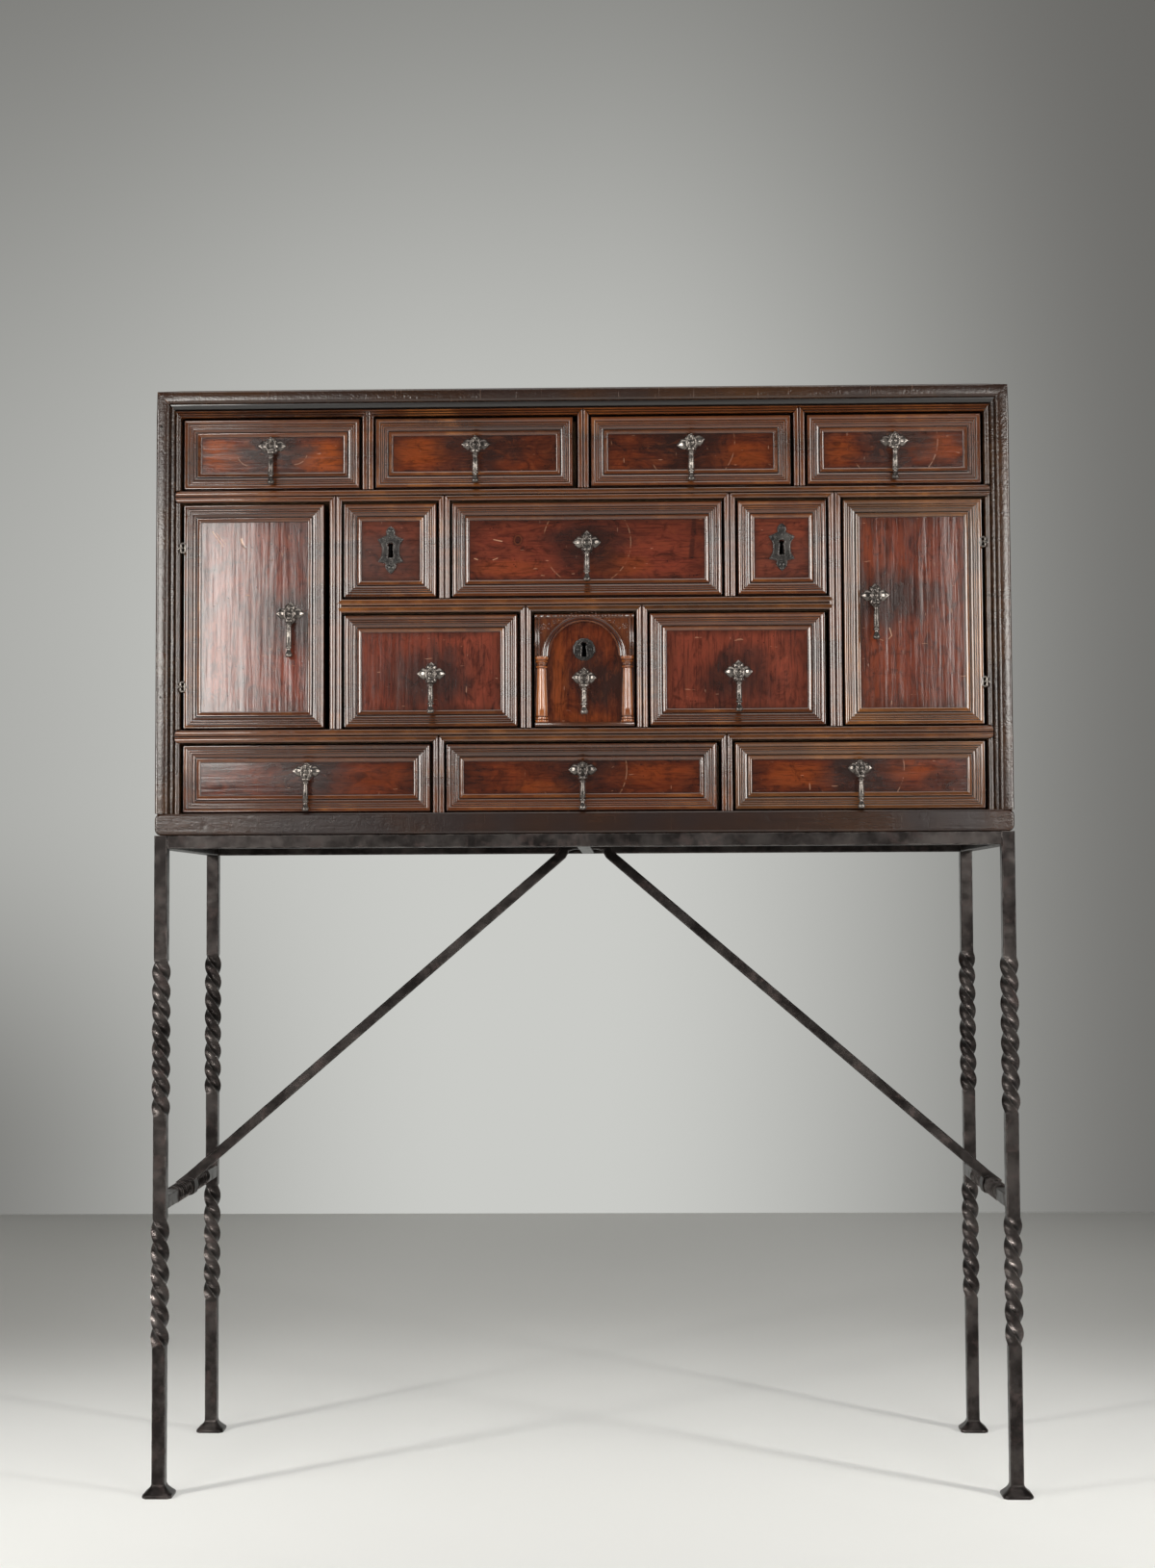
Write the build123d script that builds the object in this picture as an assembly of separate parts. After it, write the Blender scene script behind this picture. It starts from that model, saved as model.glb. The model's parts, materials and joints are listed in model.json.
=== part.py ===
"""Walnut cabinet of drawers on a wrought iron stand.

A dovetailed case holds thirteen drawers and two small cupboard doors. Each front is a board with four
mitred mouldings, and hangs an iron pendant from a rosette. Two small drawers and the arched one have a
lock with a rising bolt. The stand is square bar, with twisted legs, twisted side stretchers and two
diagonal braces.

Units are millimetres. +Z is up, -Y is the front, and the origin is on the floor at the stand's centre.
"""

import os
from math import cos, hypot, pi, sin, sqrt

from build123d import *

# Case
case_width = 1040.0
case_depth = 372.0
side_board = 30.0
top_board = 33.0
bottom_board = 26.5
back_board = 14.0
back_plank_count = 3
dovetail_count = 6
dovetail_narrow = 26.0
dovetail_flare = 4.0

# Mouldings on the case's front edges
edge_band_width = 16.0
edge_band_rise = 14.0
edge_band_round = 3.0
bottom_band_round = 8.0
bottom_band_bevel = 5.0
inner_moulding_rise = 9.0
inner_bead_width = 8.0
inner_bead_rise_in_case = 2.6
inner_bead_flare = 2.4

# Rows of drawers, from the bottom
bottom_row_height = 85.5
lower_shelf = 17.0
lower_row_height = 141.0
middle_shelf = 18.0
upper_row_height = 119.0
upper_shelf = 15.5
top_row_height = 89.5

# Centres of the upright dividers, and their widths
bottom_row_dividers = [-175.0, 175.0]
lower_row_dividers = [-68.5, 73.0]
upper_row_dividers = [-167.5, 180.5]
top_row_dividers = [-261.0, 2.5, 266.0]
left_tall_divider = -300.5
right_tall_divider = 308.0
divider_width = 15.0
tall_divider_width = 16.5
divider_board = 11.0
strip_thickness = 8.0
reed_rise = 1.8
reed_bevel = 0.28

# Drawers and doors
front_board = 14.0
front_gap = 1.5
front_lift = 1.0
front_top_gap = 2.0
moulding_width = 21.0
moulding_rise = 7.0
outer_bead = 4.5
outer_bead_rise = 1.1
outer_bead_bevel = 1.1
step_height = 4.6
step_end = 7.0
cove_end = 14.0
cove_foot = 1.8
cove_hollow = 0.78
inner_bead = 4.0
inner_bead_rise = 1.3
inner_bead_bevel = 0.9
runner_gap = 0.3
drawer_side = 9.0
drawer_bottom = 7.0
drawer_back = 9.0
drawer_side_drop = 4.0
drawer_back_gap = 6.0

# Arched front of the middle drawer
arch_spring_height = 87.0
arch_inner_radius = 42.0
arch_band_width = 9.5
arch_band_rise = 3.5
spandrel_rise = 3.0
arch_plinth_height = 5.0
arch_top_rail_height = 5.0
arch_rail_rise = 6.5
column_foot_radius = 7.2
column_top_radius = 5.4
column_ring_radius = 8.2
column_foot_height = 9.0
column_head_height = 14.0

# Pulls: a rosette, a staple eye and a hanging pendant
rosette_side_reach = 17.5
rosette_upright_reach = 14.5
arch_rosette_reach = 12.5
rosette_gap = 0.3
petal_half_width = 7.0
petal_rise = 3.2
petal_shoulder = 0.55
rosette_drop = 5.0
boss_radius = 5.0
boss_rise = 4.0
eye_outer_radius = 4.4
eye_thickness = 3.0
hook_clearance = 0.3
hook_radius = 1.5
staple_leg = 3.0
staple_hole_gap = 0.1
clinch_length = 9.0
clinch_thickness = 1.5
swing_clearance = 1.2
stirrup_half_width = 6.7
stirrup_arm = 2.3
stirrup_thickness = 3.2
stirrup_length = 14.0
pendant_length = 54.5
door_pendant_length = 60.0
arch_pendant_length = 50.5
pendant_end_radius = 4.6
top_row_pull_height = 60.5
upper_row_pull_height = 73.0
lower_row_pull_height = 72.0
bottom_row_pull_height = 56.5
arch_pull_height = 66.0
left_door_pull_height = 147.0
right_door_pull_height = 164.0
left_door_pull_inset = 46.5
right_door_pull_inset = 39.0

# Hinges of interlocked loops
hinge_offset = 5.0
hinge_eye_radius = 3.8
hinge_pin_radius = 1.3
hinge_wire = 2.6
hinge_loop_half_height = 5.0
hinge_loop_reach = 5.3
hinge_shank_depth = 22.0
door_hinge_heights = [52.0, 222.0]

# Locks
keyhole_width = 4.6
keyhole_height = 18.0
shield_plate = 2.0
shield_height = 59.0
shield_half_width = 15.8
shield_waist = 10.0
round_plate_radius = 16.0
round_plate_scallops = 16
small_lock_height = 60.0
arch_lock_height = 95.5
lock_plate = 1.6
lock_plate_width = 36.0
lock_plate_below_key = 16.0
bolt_width = 12.0
bolt_thickness = 4.0
bolt_height = 26.0
bolt_gap = 0.3
bolt_travel = 9.0
bolt_recess = 0.5
bolt_guide_height = 5.0
bolt_guide_wall = 1.6
mortise_gap = 0.6
mortise_end_gap = 1.5

# Stand
stand_height = 791.0
bar = 16.0
twist_sections_per_turn = 8
upper_twist_top = 634.0
upper_twist_foot = 448.0
upper_twist_turns = 2.0
lower_twist_top = 328.0
lower_twist_foot = 174.5
lower_twist_turns = 1.5
foot_overhang = 10.0
foot_edge_height = 4.0
foot_height = 12.0
foot_clip = 5.0
foot_neck_spare = 1.0
foot_neck_clip = 1.0
cross_bar_width = 17.0
stretcher_height = 348.0
stretcher_twist_reach = 104.0
stretcher_collar_half = 16.0
stretcher_turns = 2.0
brace_bar = 12.5
brace_flat = 12.0
brace_drop = 2.0
saddle_wall = 3.0

# Levels and faces that follow from the sizes above
front = -case_depth / 2
back = case_depth / 2
boards_front = front + edge_band_rise
fronts_plane = boards_front - strip_thickness
panel_face = fronts_plane + moulding_rise
front_inside = panel_face + front_board
case_left = -case_width / 2
case_right = case_width / 2
inner_left = case_left + side_board
inner_right = case_right - side_board
back_face = back - back_board

bottom_row_floor = stand_height + bottom_board
bottom_row_ceiling = bottom_row_floor + bottom_row_height
lower_row_floor = bottom_row_ceiling + lower_shelf
lower_row_ceiling = lower_row_floor + lower_row_height
upper_row_floor = lower_row_ceiling + middle_shelf
upper_row_ceiling = upper_row_floor + upper_row_height
top_row_floor = upper_row_ceiling + upper_shelf
top_row_ceiling = top_row_floor + top_row_height
case_top_level = top_row_ceiling + top_board

pivot_y = panel_face - (moulding_rise + pendant_end_radius + swing_clearance)


def block(x0, x1, y0, y1, z0, z1):
    """A rectangular solid between two opposite corners."""
    size = Box(x1 - x0, y1 - y0, z1 - z0)
    return Pos((x0 + x1) / 2, (y0 + y1) / 2, (z0 + z1) / 2) * size


def prism(plane, plan, depth):
    """A flat outline on a plane, carried along the plane's normal."""
    return extrude(plane * plan, depth, dir=plane.z_dir)


def ring_corners(radius, level, sides):
    """The corners of a regular polygon on a level."""
    angles = [2 * pi * side / sides for side in range(sides)]
    return [(radius * cos(angle), radius * sin(angle), level) for angle in angles]


def faceted(rings, twisted=False):
    """A solid between rings of corners, lowest first, with four-sided facets, or triangles where it twists."""
    faces = [Face(Wire.make_polygon(rings[0])), Face(Wire.make_polygon(rings[-1]))]
    count = len(rings[0])
    for lower, upper in zip(rings, rings[1:]):
        for corner in range(count):
            after = (corner + 1) % count
            if twisted:
                faces.append(Face(Wire.make_polygon([lower[corner], lower[after], upper[after]])))
                faces.append(Face(Wire.make_polygon([lower[corner], upper[after], upper[corner]])))
            else:
                side = [lower[corner], lower[after], upper[after], upper[corner]]
                faces.append(Face(Wire.make_polygon(side)))
    return Solid(Shell(faces))


def save(node, solids):
    """Write one node, keeping its pieces as separate solids."""
    pieces = [piece for shape in solids for piece in shape.solids()]
    export_step(Compound(children=pieces), f"parts/{node}.step")


def run_strip(section, origin, along, inward, length):
    """Extrude a moulding section. Its x points inwards from the outer edge and its y to the front."""
    plane = Plane(origin=origin, x_dir=inward, z_dir=along)
    return prism(plane, section, length)


def mitre(strip, outer, inner, keep):
    """Cut a strip along the line from an outer to an inner corner, given as (x, z), and keep one side."""
    normal = (inner[1] - outer[1], 0, outer[0] - inner[0])
    side = (keep[0] - outer[0]) * normal[0] + (keep[1] - outer[1]) * normal[2]
    if side < 0:
        normal = (-normal[0], 0, -normal[2])
    return split(strip, bisect_by=Plane(origin=(outer[0], 0, outer[1]), z_dir=normal), keep=Keep.TOP)


# Moulding sections


def front_section():
    """Section of a drawer or door moulding: bevelled bead, step, cove and a small bevelled inner bead."""
    bead_base = moulding_rise - outer_bead_rise
    cove_middle = ((step_end + cove_end) / 2 - cove_hollow * 0.4, (step_height + cove_foot) / 2 - cove_hollow)
    bead_start = moulding_width - inner_bead
    crest = cove_foot + inner_bead_rise
    outline = [
        Polyline(
            (0, 0),
            (0, bead_base),
            (outer_bead_bevel, moulding_rise),
            (outer_bead - outer_bead_bevel, moulding_rise),
            (outer_bead, bead_base),
            (outer_bead, step_height),
            (step_end, step_height),
        ),
        ThreePointArc((step_end, step_height), cove_middle, (cove_end, cove_foot)),
        Polyline(
            (cove_end, cove_foot),
            (bead_start, cove_foot),
            (bead_start + inner_bead_bevel, crest),
            (moulding_width - inner_bead_bevel, crest),
            (moulding_width, cove_foot),
            (moulding_width, 0),
            (0, 0),
        ),
    ]
    return make_face(Curve() + outline)


def reeded_section(width):
    """Section of a divider strip: two beads side by side, each of three flats."""
    base = strip_thickness - reed_rise
    half = width / 2
    bevel = half * reed_bevel
    points = [(0, 0)]
    for start in (0, half):
        points += [(start, base), (start + bevel, strip_thickness), (start + half - bevel, strip_thickness)]
    points += [(width, base), (width, 0)]
    return Polygon(*points, align=None)


def edge_band_section(width):
    """Section of the band round the case's front edge: flat, with both corners rounded."""
    band = Pos(width / 2, edge_band_rise / 2) * Rectangle(width, edge_band_rise)
    return fillet(band.vertices().sort_by(Axis.Y)[-2:], edge_band_round)


def inner_moulding_section(width):
    """Section of the moulding inside the band: a flat, then a bevelled bead at the opening."""
    bead_base = inner_moulding_rise - inner_bead_rise_in_case
    flat = width - inner_bead_width
    return Polygon(
        (0, 0),
        (width, 0),
        (width, bead_base),
        (width - inner_bead_flare, inner_moulding_rise),
        (flat + inner_bead_flare, inner_moulding_rise),
        (flat, bead_base),
        (0, bead_base),
        align=None,
    )


def mitred_frame(x0, x1, z0, z1):
    """Four mouldings round a front, mitred at the corners."""
    section = front_section()
    corners = [(x0, z0), (x1, z0), (x1, z1), (x0, z1)]
    middle = ((x0 + x1) / 2, (z0 + z1) / 2)
    strips = []
    for index in range(4):
        start = corners[index]
        end = corners[(index + 1) % 4]
        length = hypot(end[0] - start[0], end[1] - start[1])
        along = ((end[0] - start[0]) / length, (end[1] - start[1]) / length)
        inward = (-along[1], along[0])
        strip = run_strip(
            section,
            (start[0], panel_face, start[1]),
            (along[0], 0, along[1]),
            (inward[0], 0, inward[1]),
            length,
        )
        half = ((start[0] + end[0]) / 2, (start[1] + end[1]) / 2)
        for corner in (start, end):
            step_x = moulding_width if corner[0] < middle[0] else -moulding_width
            step_z = moulding_width if corner[1] < middle[1] else -moulding_width
            strip = mitre(strip, corner, (corner[0] + step_x, corner[1] + step_z), half)
        strips.append(strip)
    return strips


# Pulls


def front_centre(x0, x1):
    """The middle of a bay, where a drawer's pull or lock sits."""
    return (x0 + x1) / 2


def petal(angle, reach):
    """One pointed leaf of a rosette: a kite that rises to a crest at its widest place."""
    shoulder = reach * petal_shoulder
    half = petal_half_width
    kite = [(0, 0, 0), (shoulder, -half, 0), (reach, 0, 0), (shoulder, half, 0)]
    crest = (shoulder, 0, petal_rise)
    faces = [Face(Wire.make_polygon(kite))]
    for corner in range(4):
        faces.append(Face(Wire.make_polygon([kite[corner], kite[(corner + 1) % 4], crest])))
    return Rot(0, 0, angle) * Solid(Shell(faces))


def pull_mount(x, z, side_reach, upright_reach):
    """A rosette on the panel, and the staple that holds the pendant, with its legs clinched inside."""
    leaves = [petal(angle, side_reach) for angle in (0, 180)]
    leaves += [petal(angle, upright_reach) for angle in (90, 270)]
    boss = faceted([ring_corners(boss_radius, 0, 8), ring_corners(boss_radius * 0.7, boss_rise, 8)])
    rosette = boss + leaves
    slot = staple_leg + 2 * staple_hole_gap
    rosette -= Pos(0, rosette_drop, 0) * Box(eye_thickness + 2 * staple_hole_gap, slot, 4 * boss_rise)
    rosette = Plane(origin=(x, panel_face, z - rosette_drop), x_dir=(1, 0, 0), z_dir=(0, -1, 0)) * rosette
    eye_plane = Plane(origin=(x - eye_thickness / 2, pivot_y, z), x_dir=(0, 1, 0), z_dir=(1, 0, 0))
    staple = prism(eye_plane, RegularPolygon(eye_outer_radius, 8), eye_thickness)
    half_leg = staple_leg / 2
    inside = front_inside + clinch_thickness
    half_eye = eye_thickness / 2
    staple += block(x - half_eye, x + half_eye, pivot_y, inside, z - half_leg, z + half_leg)
    staple += block(x - half_eye, x + half_eye, front_inside, inside, z - clinch_length, z + clinch_length)
    eye_hole = RegularPolygon(hook_radius + hook_clearance, 8, major_radius=False)
    staple -= prism(eye_plane, eye_hole, eye_thickness)
    return [rosette, staple]


def upright_reach_in(z, front_top):
    """How far a rosette's upper leaf may reach before it meets the front's top moulding."""
    room = front_top - moulding_width - rosette_gap - (z - rosette_drop)
    return min(rosette_upright_reach, room)


def staple_hole(x, z):
    """The square hole that a staple needs through a front board."""
    half_x = eye_thickness / 2 + staple_hole_gap
    half_z = staple_leg / 2 + staple_hole_gap
    return block(x - half_x, x + half_x, panel_face, front_inside, z - half_z, z + half_z)


def pendant(x, z, length):
    """A hanging pull: a hook bar in the staple's eye, a stirrup, and a faceted stem with collars."""
    arm_inside = stirrup_half_width - stirrup_arm
    head = hook_radius + 0.5
    bend = stirrup_length - stirrup_half_width * 0.7
    foot = stirrup_length
    outside = [(stirrup_half_width, head), (stirrup_half_width, -bend), (stirrup_half_width * 0.5, -foot)]
    inside = [(arm_inside, head), (arm_inside, -bend), (arm_inside * 0.5, stirrup_arm - foot)]
    right_side = outside + inside[::-1]
    left_side = [(-px, pz) for px, pz in right_side]
    face = Plane(origin=(0, stirrup_thickness / 2, 0), x_dir=(1, 0, 0), z_dir=(0, -1, 0))
    plan = Polygon(*outside, *left_side[2::-1], *left_side[:2:-1], *inside[::-1], align=None)
    stirrup = prism(face, plan, stirrup_thickness)
    bar_plane = Plane(origin=(-stirrup_half_width + stirrup_arm / 2, 0, 0), x_dir=(0, 1, 0), z_dir=(1, 0, 0))
    stirrup += prism(bar_plane, RegularPolygon(hook_radius, 8), 2 * stirrup_half_width - stirrup_arm)
    top = stirrup_length - stirrup_arm * 0.6
    end = pendant_end_radius
    levels = [
        (end * 1.2, top),
        (end * 1.25, top + 2.4),
        (end * 0.58, top + 4.4),
        (end * 0.78, length - 15.0),
        (end * 0.95, length - 12.0),
        (end * 0.52, length - 9.0),
        (end, length - 2.4),
        (end * 0.75, length),
    ]
    stem = faceted([ring_corners(radius, -depth, 8) for radius, depth in reversed(levels)])
    return [Pos(x, pivot_y, z) * (stirrup + stem)]


# Locks


def keyhole(x, z, y0, y1):
    """A keyhole's prism: an eight-sided head over a slot that widens downwards."""
    head = keyhole_width / 2
    plan = Pos(0, keyhole_height / 2 - head) * RegularPolygon(head, 8)
    plan += Polygon(
        (-head * 0.6, keyhole_height / 2 - head),
        (head * 0.6, keyhole_height / 2 - head),
        (head * 0.9, -keyhole_height / 2),
        (-head * 0.9, -keyhole_height / 2),
        align=None,
    )
    plane = Plane(origin=(x, y1, z), x_dir=(1, 0, 0), z_dir=(0, -1, 0))
    return prism(plane, plan, y1 - y0)


def shield_plate_solid(x, z):
    """A pierced cartouche with four points and a narrow waist."""
    half = shield_height / 2
    wide = shield_half_width
    high = half * 0.48
    outline = []
    for side_x, side_z in ((1, 1), (1, -1), (-1, -1), (-1, 1)):
        tip = (0, side_z * half)
        point = (side_x * wide, side_z * high)
        waist = (side_x * shield_waist, 0)
        hollow = (side_x * wide * 0.45, side_z * half * 0.71)
        curve = (side_x * wide * 0.74, side_z * high * 0.47)
        outline += [ThreePointArc(tip, hollow, point), ThreePointArc(point, curve, waist)]
    plan = make_face(Curve() + outline)
    plane = Plane(origin=(x, panel_face, z), x_dir=(1, 0, 0), z_dir=(0, -1, 0))
    plate = prism(plane, plan, shield_plate)
    return plate - keyhole(x, z, panel_face - shield_plate, panel_face)


def round_plate_solid(x, z):
    """A round lock plate with a scalloped rim."""
    points = []
    for step in range(2 * round_plate_scallops):
        radius = round_plate_radius * (1.0 if step % 2 else 0.9)
        angle = pi * step / round_plate_scallops
        points.append((radius * cos(angle), radius * sin(angle)))
    plane = Plane(origin=(x, panel_face, z), x_dir=(1, 0, 0), z_dir=(0, -1, 0))
    plate = prism(plane, Polygon(*points, align=None), shield_plate)
    return plate - keyhole(x, z, panel_face - shield_plate, panel_face)


def lock_case(x, z, front_top):
    """The plate and bolt guides inside a front, with a leaf spring beside the bolt."""
    half = lock_plate_width / 2
    plate_back = front_inside + lock_plate
    plate = block(x - half, x + half, front_inside, plate_back, z - lock_plate_below_key, front_top - 1.0)
    plate -= keyhole(x, z, front_inside, plate_back)
    bolt_foot = front_top - bolt_recess - bolt_height
    slot_half = bolt_width / 2 + bolt_gap
    slot_depth = bolt_thickness + 2 * bolt_gap
    wall = bolt_guide_wall
    pieces = [plate]
    for level in (bolt_foot + 2.0, front_top - 2.0 - bolt_guide_height):
        strap = block(
            x - slot_half - wall,
            x + slot_half + wall,
            plate_back,
            plate_back + slot_depth + wall,
            level,
            level + bolt_guide_height,
        )
        slot_back = plate_back + slot_depth
        slot = block(x - slot_half, x + slot_half, plate_back, slot_back, level, level + bolt_guide_height)
        pieces.append(strap - slot)
    spring_x = x + slot_half + wall + 1.0
    spring_foot = bolt_foot + 2.0
    pieces.append(
        block(spring_x, spring_x + 1.0, plate_back, plate_back + 5.0, spring_foot, front_top - 4.0)
    )
    return pieces


def lock_bolt(x, front_top):
    """The rising bolt, drawn back below the front's top edge."""
    y0 = front_inside + lock_plate + bolt_gap
    top = front_top - bolt_recess
    return block(x - bolt_width / 2, x + bolt_width / 2, y0, y0 + bolt_thickness, top - bolt_height, top)


def bolt_mortise(x, ceiling):
    """The pocket for a raised bolt, in the underside of the shelf above."""
    y0 = front_inside + lock_plate + bolt_gap - mortise_gap
    half = bolt_width / 2 + mortise_gap
    y1 = y0 + bolt_thickness + 2 * mortise_gap
    raised_top = ceiling - front_top_gap - bolt_recess + bolt_travel
    return block(x - half, x + half, y0, y1, ceiling, raised_top + mortise_end_gap)


# Drawers and doors


def drawer_box(x0, x1, floor, ceiling):
    """Sides, back and bottom of a drawer, behind its front board."""
    left = x0 + front_gap
    right = x1 - front_gap
    foot = floor + runner_gap
    deck = foot + drawer_bottom
    rim = ceiling - drawer_side_drop
    end = back_face - drawer_back_gap
    return [
        block(left, right, front_inside, end, foot, deck),
        block(left, left + drawer_side, front_inside, end, deck, rim),
        block(right - drawer_side, right, front_inside, end, deck, rim),
        block(left + drawer_side, right - drawer_side, end - drawer_back, end, deck, rim),
    ]


def front_bounds(bay):
    """A front's outline (x0, x1, z0, z1) in its bay, with the gaps round it."""
    x0, x1, floor, ceiling = bay
    return x0 + front_gap, x1 - front_gap, floor + front_lift, ceiling - front_top_gap


def front_blank(bay):
    """A plain front board."""
    x0, x1, z0, z1 = front_bounds(bay)
    return block(x0, x1, panel_face, front_inside, z0, z1)


def drawer_with_pull(name, bay, pull_height):
    """A drawer with a moulded front, its pull mount and its pendant."""
    x0, x1, floor, ceiling = bay
    x = front_centre(x0, x1)
    z = floor + pull_height
    board = front_blank(bay) - staple_hole(x, z)
    save(name, [board] + mitred_frame(*front_bounds(bay)) + drawer_box(x0, x1, floor, ceiling))
    reach = upright_reach_in(z, front_bounds(bay)[3])
    save(f"{name}_pull_mount", pull_mount(x, z, rosette_side_reach, reach))
    save(f"{name}_pendant", pendant(x, z, pendant_length))


def locked_drawer(name, bay, key_height):
    """A small drawer that opens by its key, with a shield, a lock and a bolt."""
    x0, x1, floor, ceiling = bay
    x = front_centre(x0, x1)
    z = floor + key_height
    front_top = front_bounds(bay)[3]
    board = front_blank(bay) - keyhole(x, z, panel_face, front_inside)
    save(name, [board] + mitred_frame(*front_bounds(bay)) + drawer_box(x0, x1, floor, ceiling))
    save(f"{name}_lock", [shield_plate_solid(x, z)] + lock_case(x, z, front_top))
    save(f"{name}_bolt", [lock_bolt(x, front_top)])


def arch_facing(bay):
    """The arched overlay: plinth, top rail, spandrel plate, arch band and two half columns."""
    x0, x1, z0, z1 = front_bounds(bay)
    x = front_centre(x0, x1)
    spring = bay[2] + arch_spring_height
    plinth_top = z0 + arch_plinth_height
    rail_foot = z1 - arch_top_rail_height
    outer_radius = arch_inner_radius + arch_band_width
    plane = Plane(origin=(x, panel_face, spring), x_dir=(1, 0, 0), z_dir=(0, -1, 0))
    width = x1 - x0
    spandrel = Pos(0, (rail_foot - spring) / 2) * Rectangle(width, rail_foot - spring)
    spandrel -= Circle(arch_inner_radius)
    band = Circle(outer_radius) - Circle(arch_inner_radius)
    band &= Pos(0, outer_radius / 2) * Rectangle(2 * outer_radius, outer_radius)
    band_plane = plane.offset(spandrel_rise)
    pieces = [
        block(x0, x1, panel_face - arch_rail_rise, panel_face, z0, plinth_top),
        block(x0, x1, panel_face - arch_rail_rise, panel_face, rail_foot, z1),
        prism(plane, spandrel, spandrel_rise),
        prism(band_plane, band, arch_band_rise),
    ]
    for centre_x in (x0 + column_ring_radius, x1 - column_ring_radius):
        pieces.append(Pos(centre_x, panel_face, 0) * half_column(plinth_top, spring))
    return pieces


def half_column(foot, head):
    """A tapering half column of flat facets, with a ring at its foot and two at its head."""
    ring = column_ring_radius
    shaft_foot = foot + column_foot_height
    shaft_top = head - column_head_height
    levels = [
        (ring, foot),
        (ring, foot + column_foot_height * 0.6),
        (column_foot_radius, shaft_foot),
        (column_top_radius, shaft_top),
        (ring * 0.9, shaft_top + column_head_height * 0.2),
        (column_top_radius, shaft_top + column_head_height * 0.45),
        (ring, shaft_top + column_head_height * 0.7),
        (ring, head),
    ]
    column = faceted([ring_corners(radius, level, 12) for radius, level in levels])
    return split(column, bisect_by=Plane(origin=(0, 0, 0), z_dir=(0, -1, 0)), keep=Keep.TOP)


def arched_drawer(bay):
    """The middle drawer, with an arched front, a lock and a pendant."""
    x0, x1, floor, ceiling = bay
    x = front_centre(x0, x1)
    z = floor + arch_pull_height
    key = floor + arch_lock_height
    front_top = front_bounds(bay)[3]
    board = front_blank(bay) - staple_hole(x, z) - keyhole(x, key, panel_face, front_inside)
    save("arch_drawer", [board] + arch_facing(bay) + drawer_box(x0, x1, floor, ceiling))
    save("arch_drawer_pull_mount", pull_mount(x, z, arch_rosette_reach, arch_rosette_reach))
    save("arch_drawer_pendant", pendant(x, z, arch_pendant_length))
    save("arch_drawer_lock", [round_plate_solid(x, key)] + lock_case(x, key, front_top))
    save("arch_drawer_bolt", [lock_bolt(x, front_top)])


def door(name, bay, hinge_side, pull_inset, pull_height):
    """A cupboard door with its pull, and the hinge loops that turn with it. hinge_side is -1 or 1."""
    x0, x1, z0, z1 = front_bounds(bay)
    free_edge = x1 if hinge_side < 0 else x0
    x = free_edge + hinge_side * pull_inset
    z = bay[2] + pull_height
    board = front_blank(bay) - staple_hole(x, z)
    strips = mitred_frame(x0, x1, z0, z1)
    loops = []
    for height in door_hinge_heights:
        level = bay[2] + height
        loops.append(door_loop(bay, hinge_side, level))
        slot = door_shank(bay, hinge_side, level, staple_hole_gap)
        board -= slot
        strips = [strip - slot for strip in strips]
    save(name, [board] + strips)
    save(f"{name}_ironwork", pull_mount(x, z, rosette_side_reach, rosette_upright_reach) + loops)
    save(f"{name}_pendant", pendant(x, z, door_pendant_length))


# Hinges: a loop in the case's moulding holds an eye, and the door's loop turns in it


def hinge_axis(bay, hinge_side):
    """The (x, y) place of a door's upright hinge axis, in the gap beside its edge."""
    edge = bay[0] if hinge_side < 0 else bay[1]
    return edge - hinge_side * front_gap / 2, fronts_plane - hinge_offset


def door_shank(bay, hinge_side, level, gap):
    """The part of the door's loop that is driven into the door, grown all round by a gap."""
    axis_x, axis_y = hinge_axis(bay, hinge_side)
    middle = axis_x - hinge_side * hinge_loop_reach
    half = hinge_wire / 2 + gap
    end = axis_y + hinge_offset + hinge_shank_depth + gap
    return block(middle - half, middle + half, axis_y, end, level - half, level + half)


def door_loop(bay, hinge_side, level):
    """The door's loop: an upright pin on the axis, two arms, and a shank in the door."""
    axis_x, axis_y = hinge_axis(bay, hinge_side)
    high = hinge_loop_half_height
    wire = hinge_wire
    far = axis_x - hinge_side * (hinge_loop_reach + wire / 2)
    reach = high + wire / 2
    pin = Plane(origin=(axis_x, axis_y, level - reach), z_dir=(0, 0, 1))
    loop = prism(pin, RegularPolygon(hinge_pin_radius, 8), 2 * reach)
    low_x, high_x = sorted((axis_x, far))
    for sign in (-1, 1):
        arm = level + sign * high
        loop += block(low_x, high_x, axis_y - wire / 2, axis_y + wire / 2, arm - wire / 2, arm + wire / 2)
    bridge = axis_x - hinge_side * hinge_loop_reach
    loop += block(
        bridge - wire / 2, bridge + wire / 2, axis_y - wire / 2, axis_y + wire / 2, level - high, level + high
    )
    return loop + door_shank(bay, hinge_side, level, 0)


def case_shank(bay, hinge_side, level, gap):
    """The part of the case's loop that is driven into the case, grown all round by a gap."""
    axis_x, axis_y = hinge_axis(bay, hinge_side)
    middle = axis_x + hinge_side * (hinge_eye_radius - hinge_wire / 2)
    half = hinge_wire / 2 + gap
    end = axis_y + hinge_offset + hinge_shank_depth + gap
    return block(middle - half, middle + half, axis_y + 1.6, end, level - half, level + half)


def case_loop(bay, hinge_side, level):
    """The case's loop: a flat eye round the axis, and a shank in the moulding and the board."""
    axis_x, axis_y = hinge_axis(bay, hinge_side)
    plane = Plane(origin=(axis_x, axis_y, level - hinge_wire / 2), z_dir=(0, 0, 1))
    eye = prism(plane, RegularPolygon(hinge_eye_radius, 8), hinge_wire)
    loop = eye + case_shank(bay, hinge_side, level, 0)
    hole = RegularPolygon(hinge_pin_radius + hook_clearance, 8, major_radius=False)
    return loop - prism(plane, hole, hinge_wire)


# Bays of the case


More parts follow.
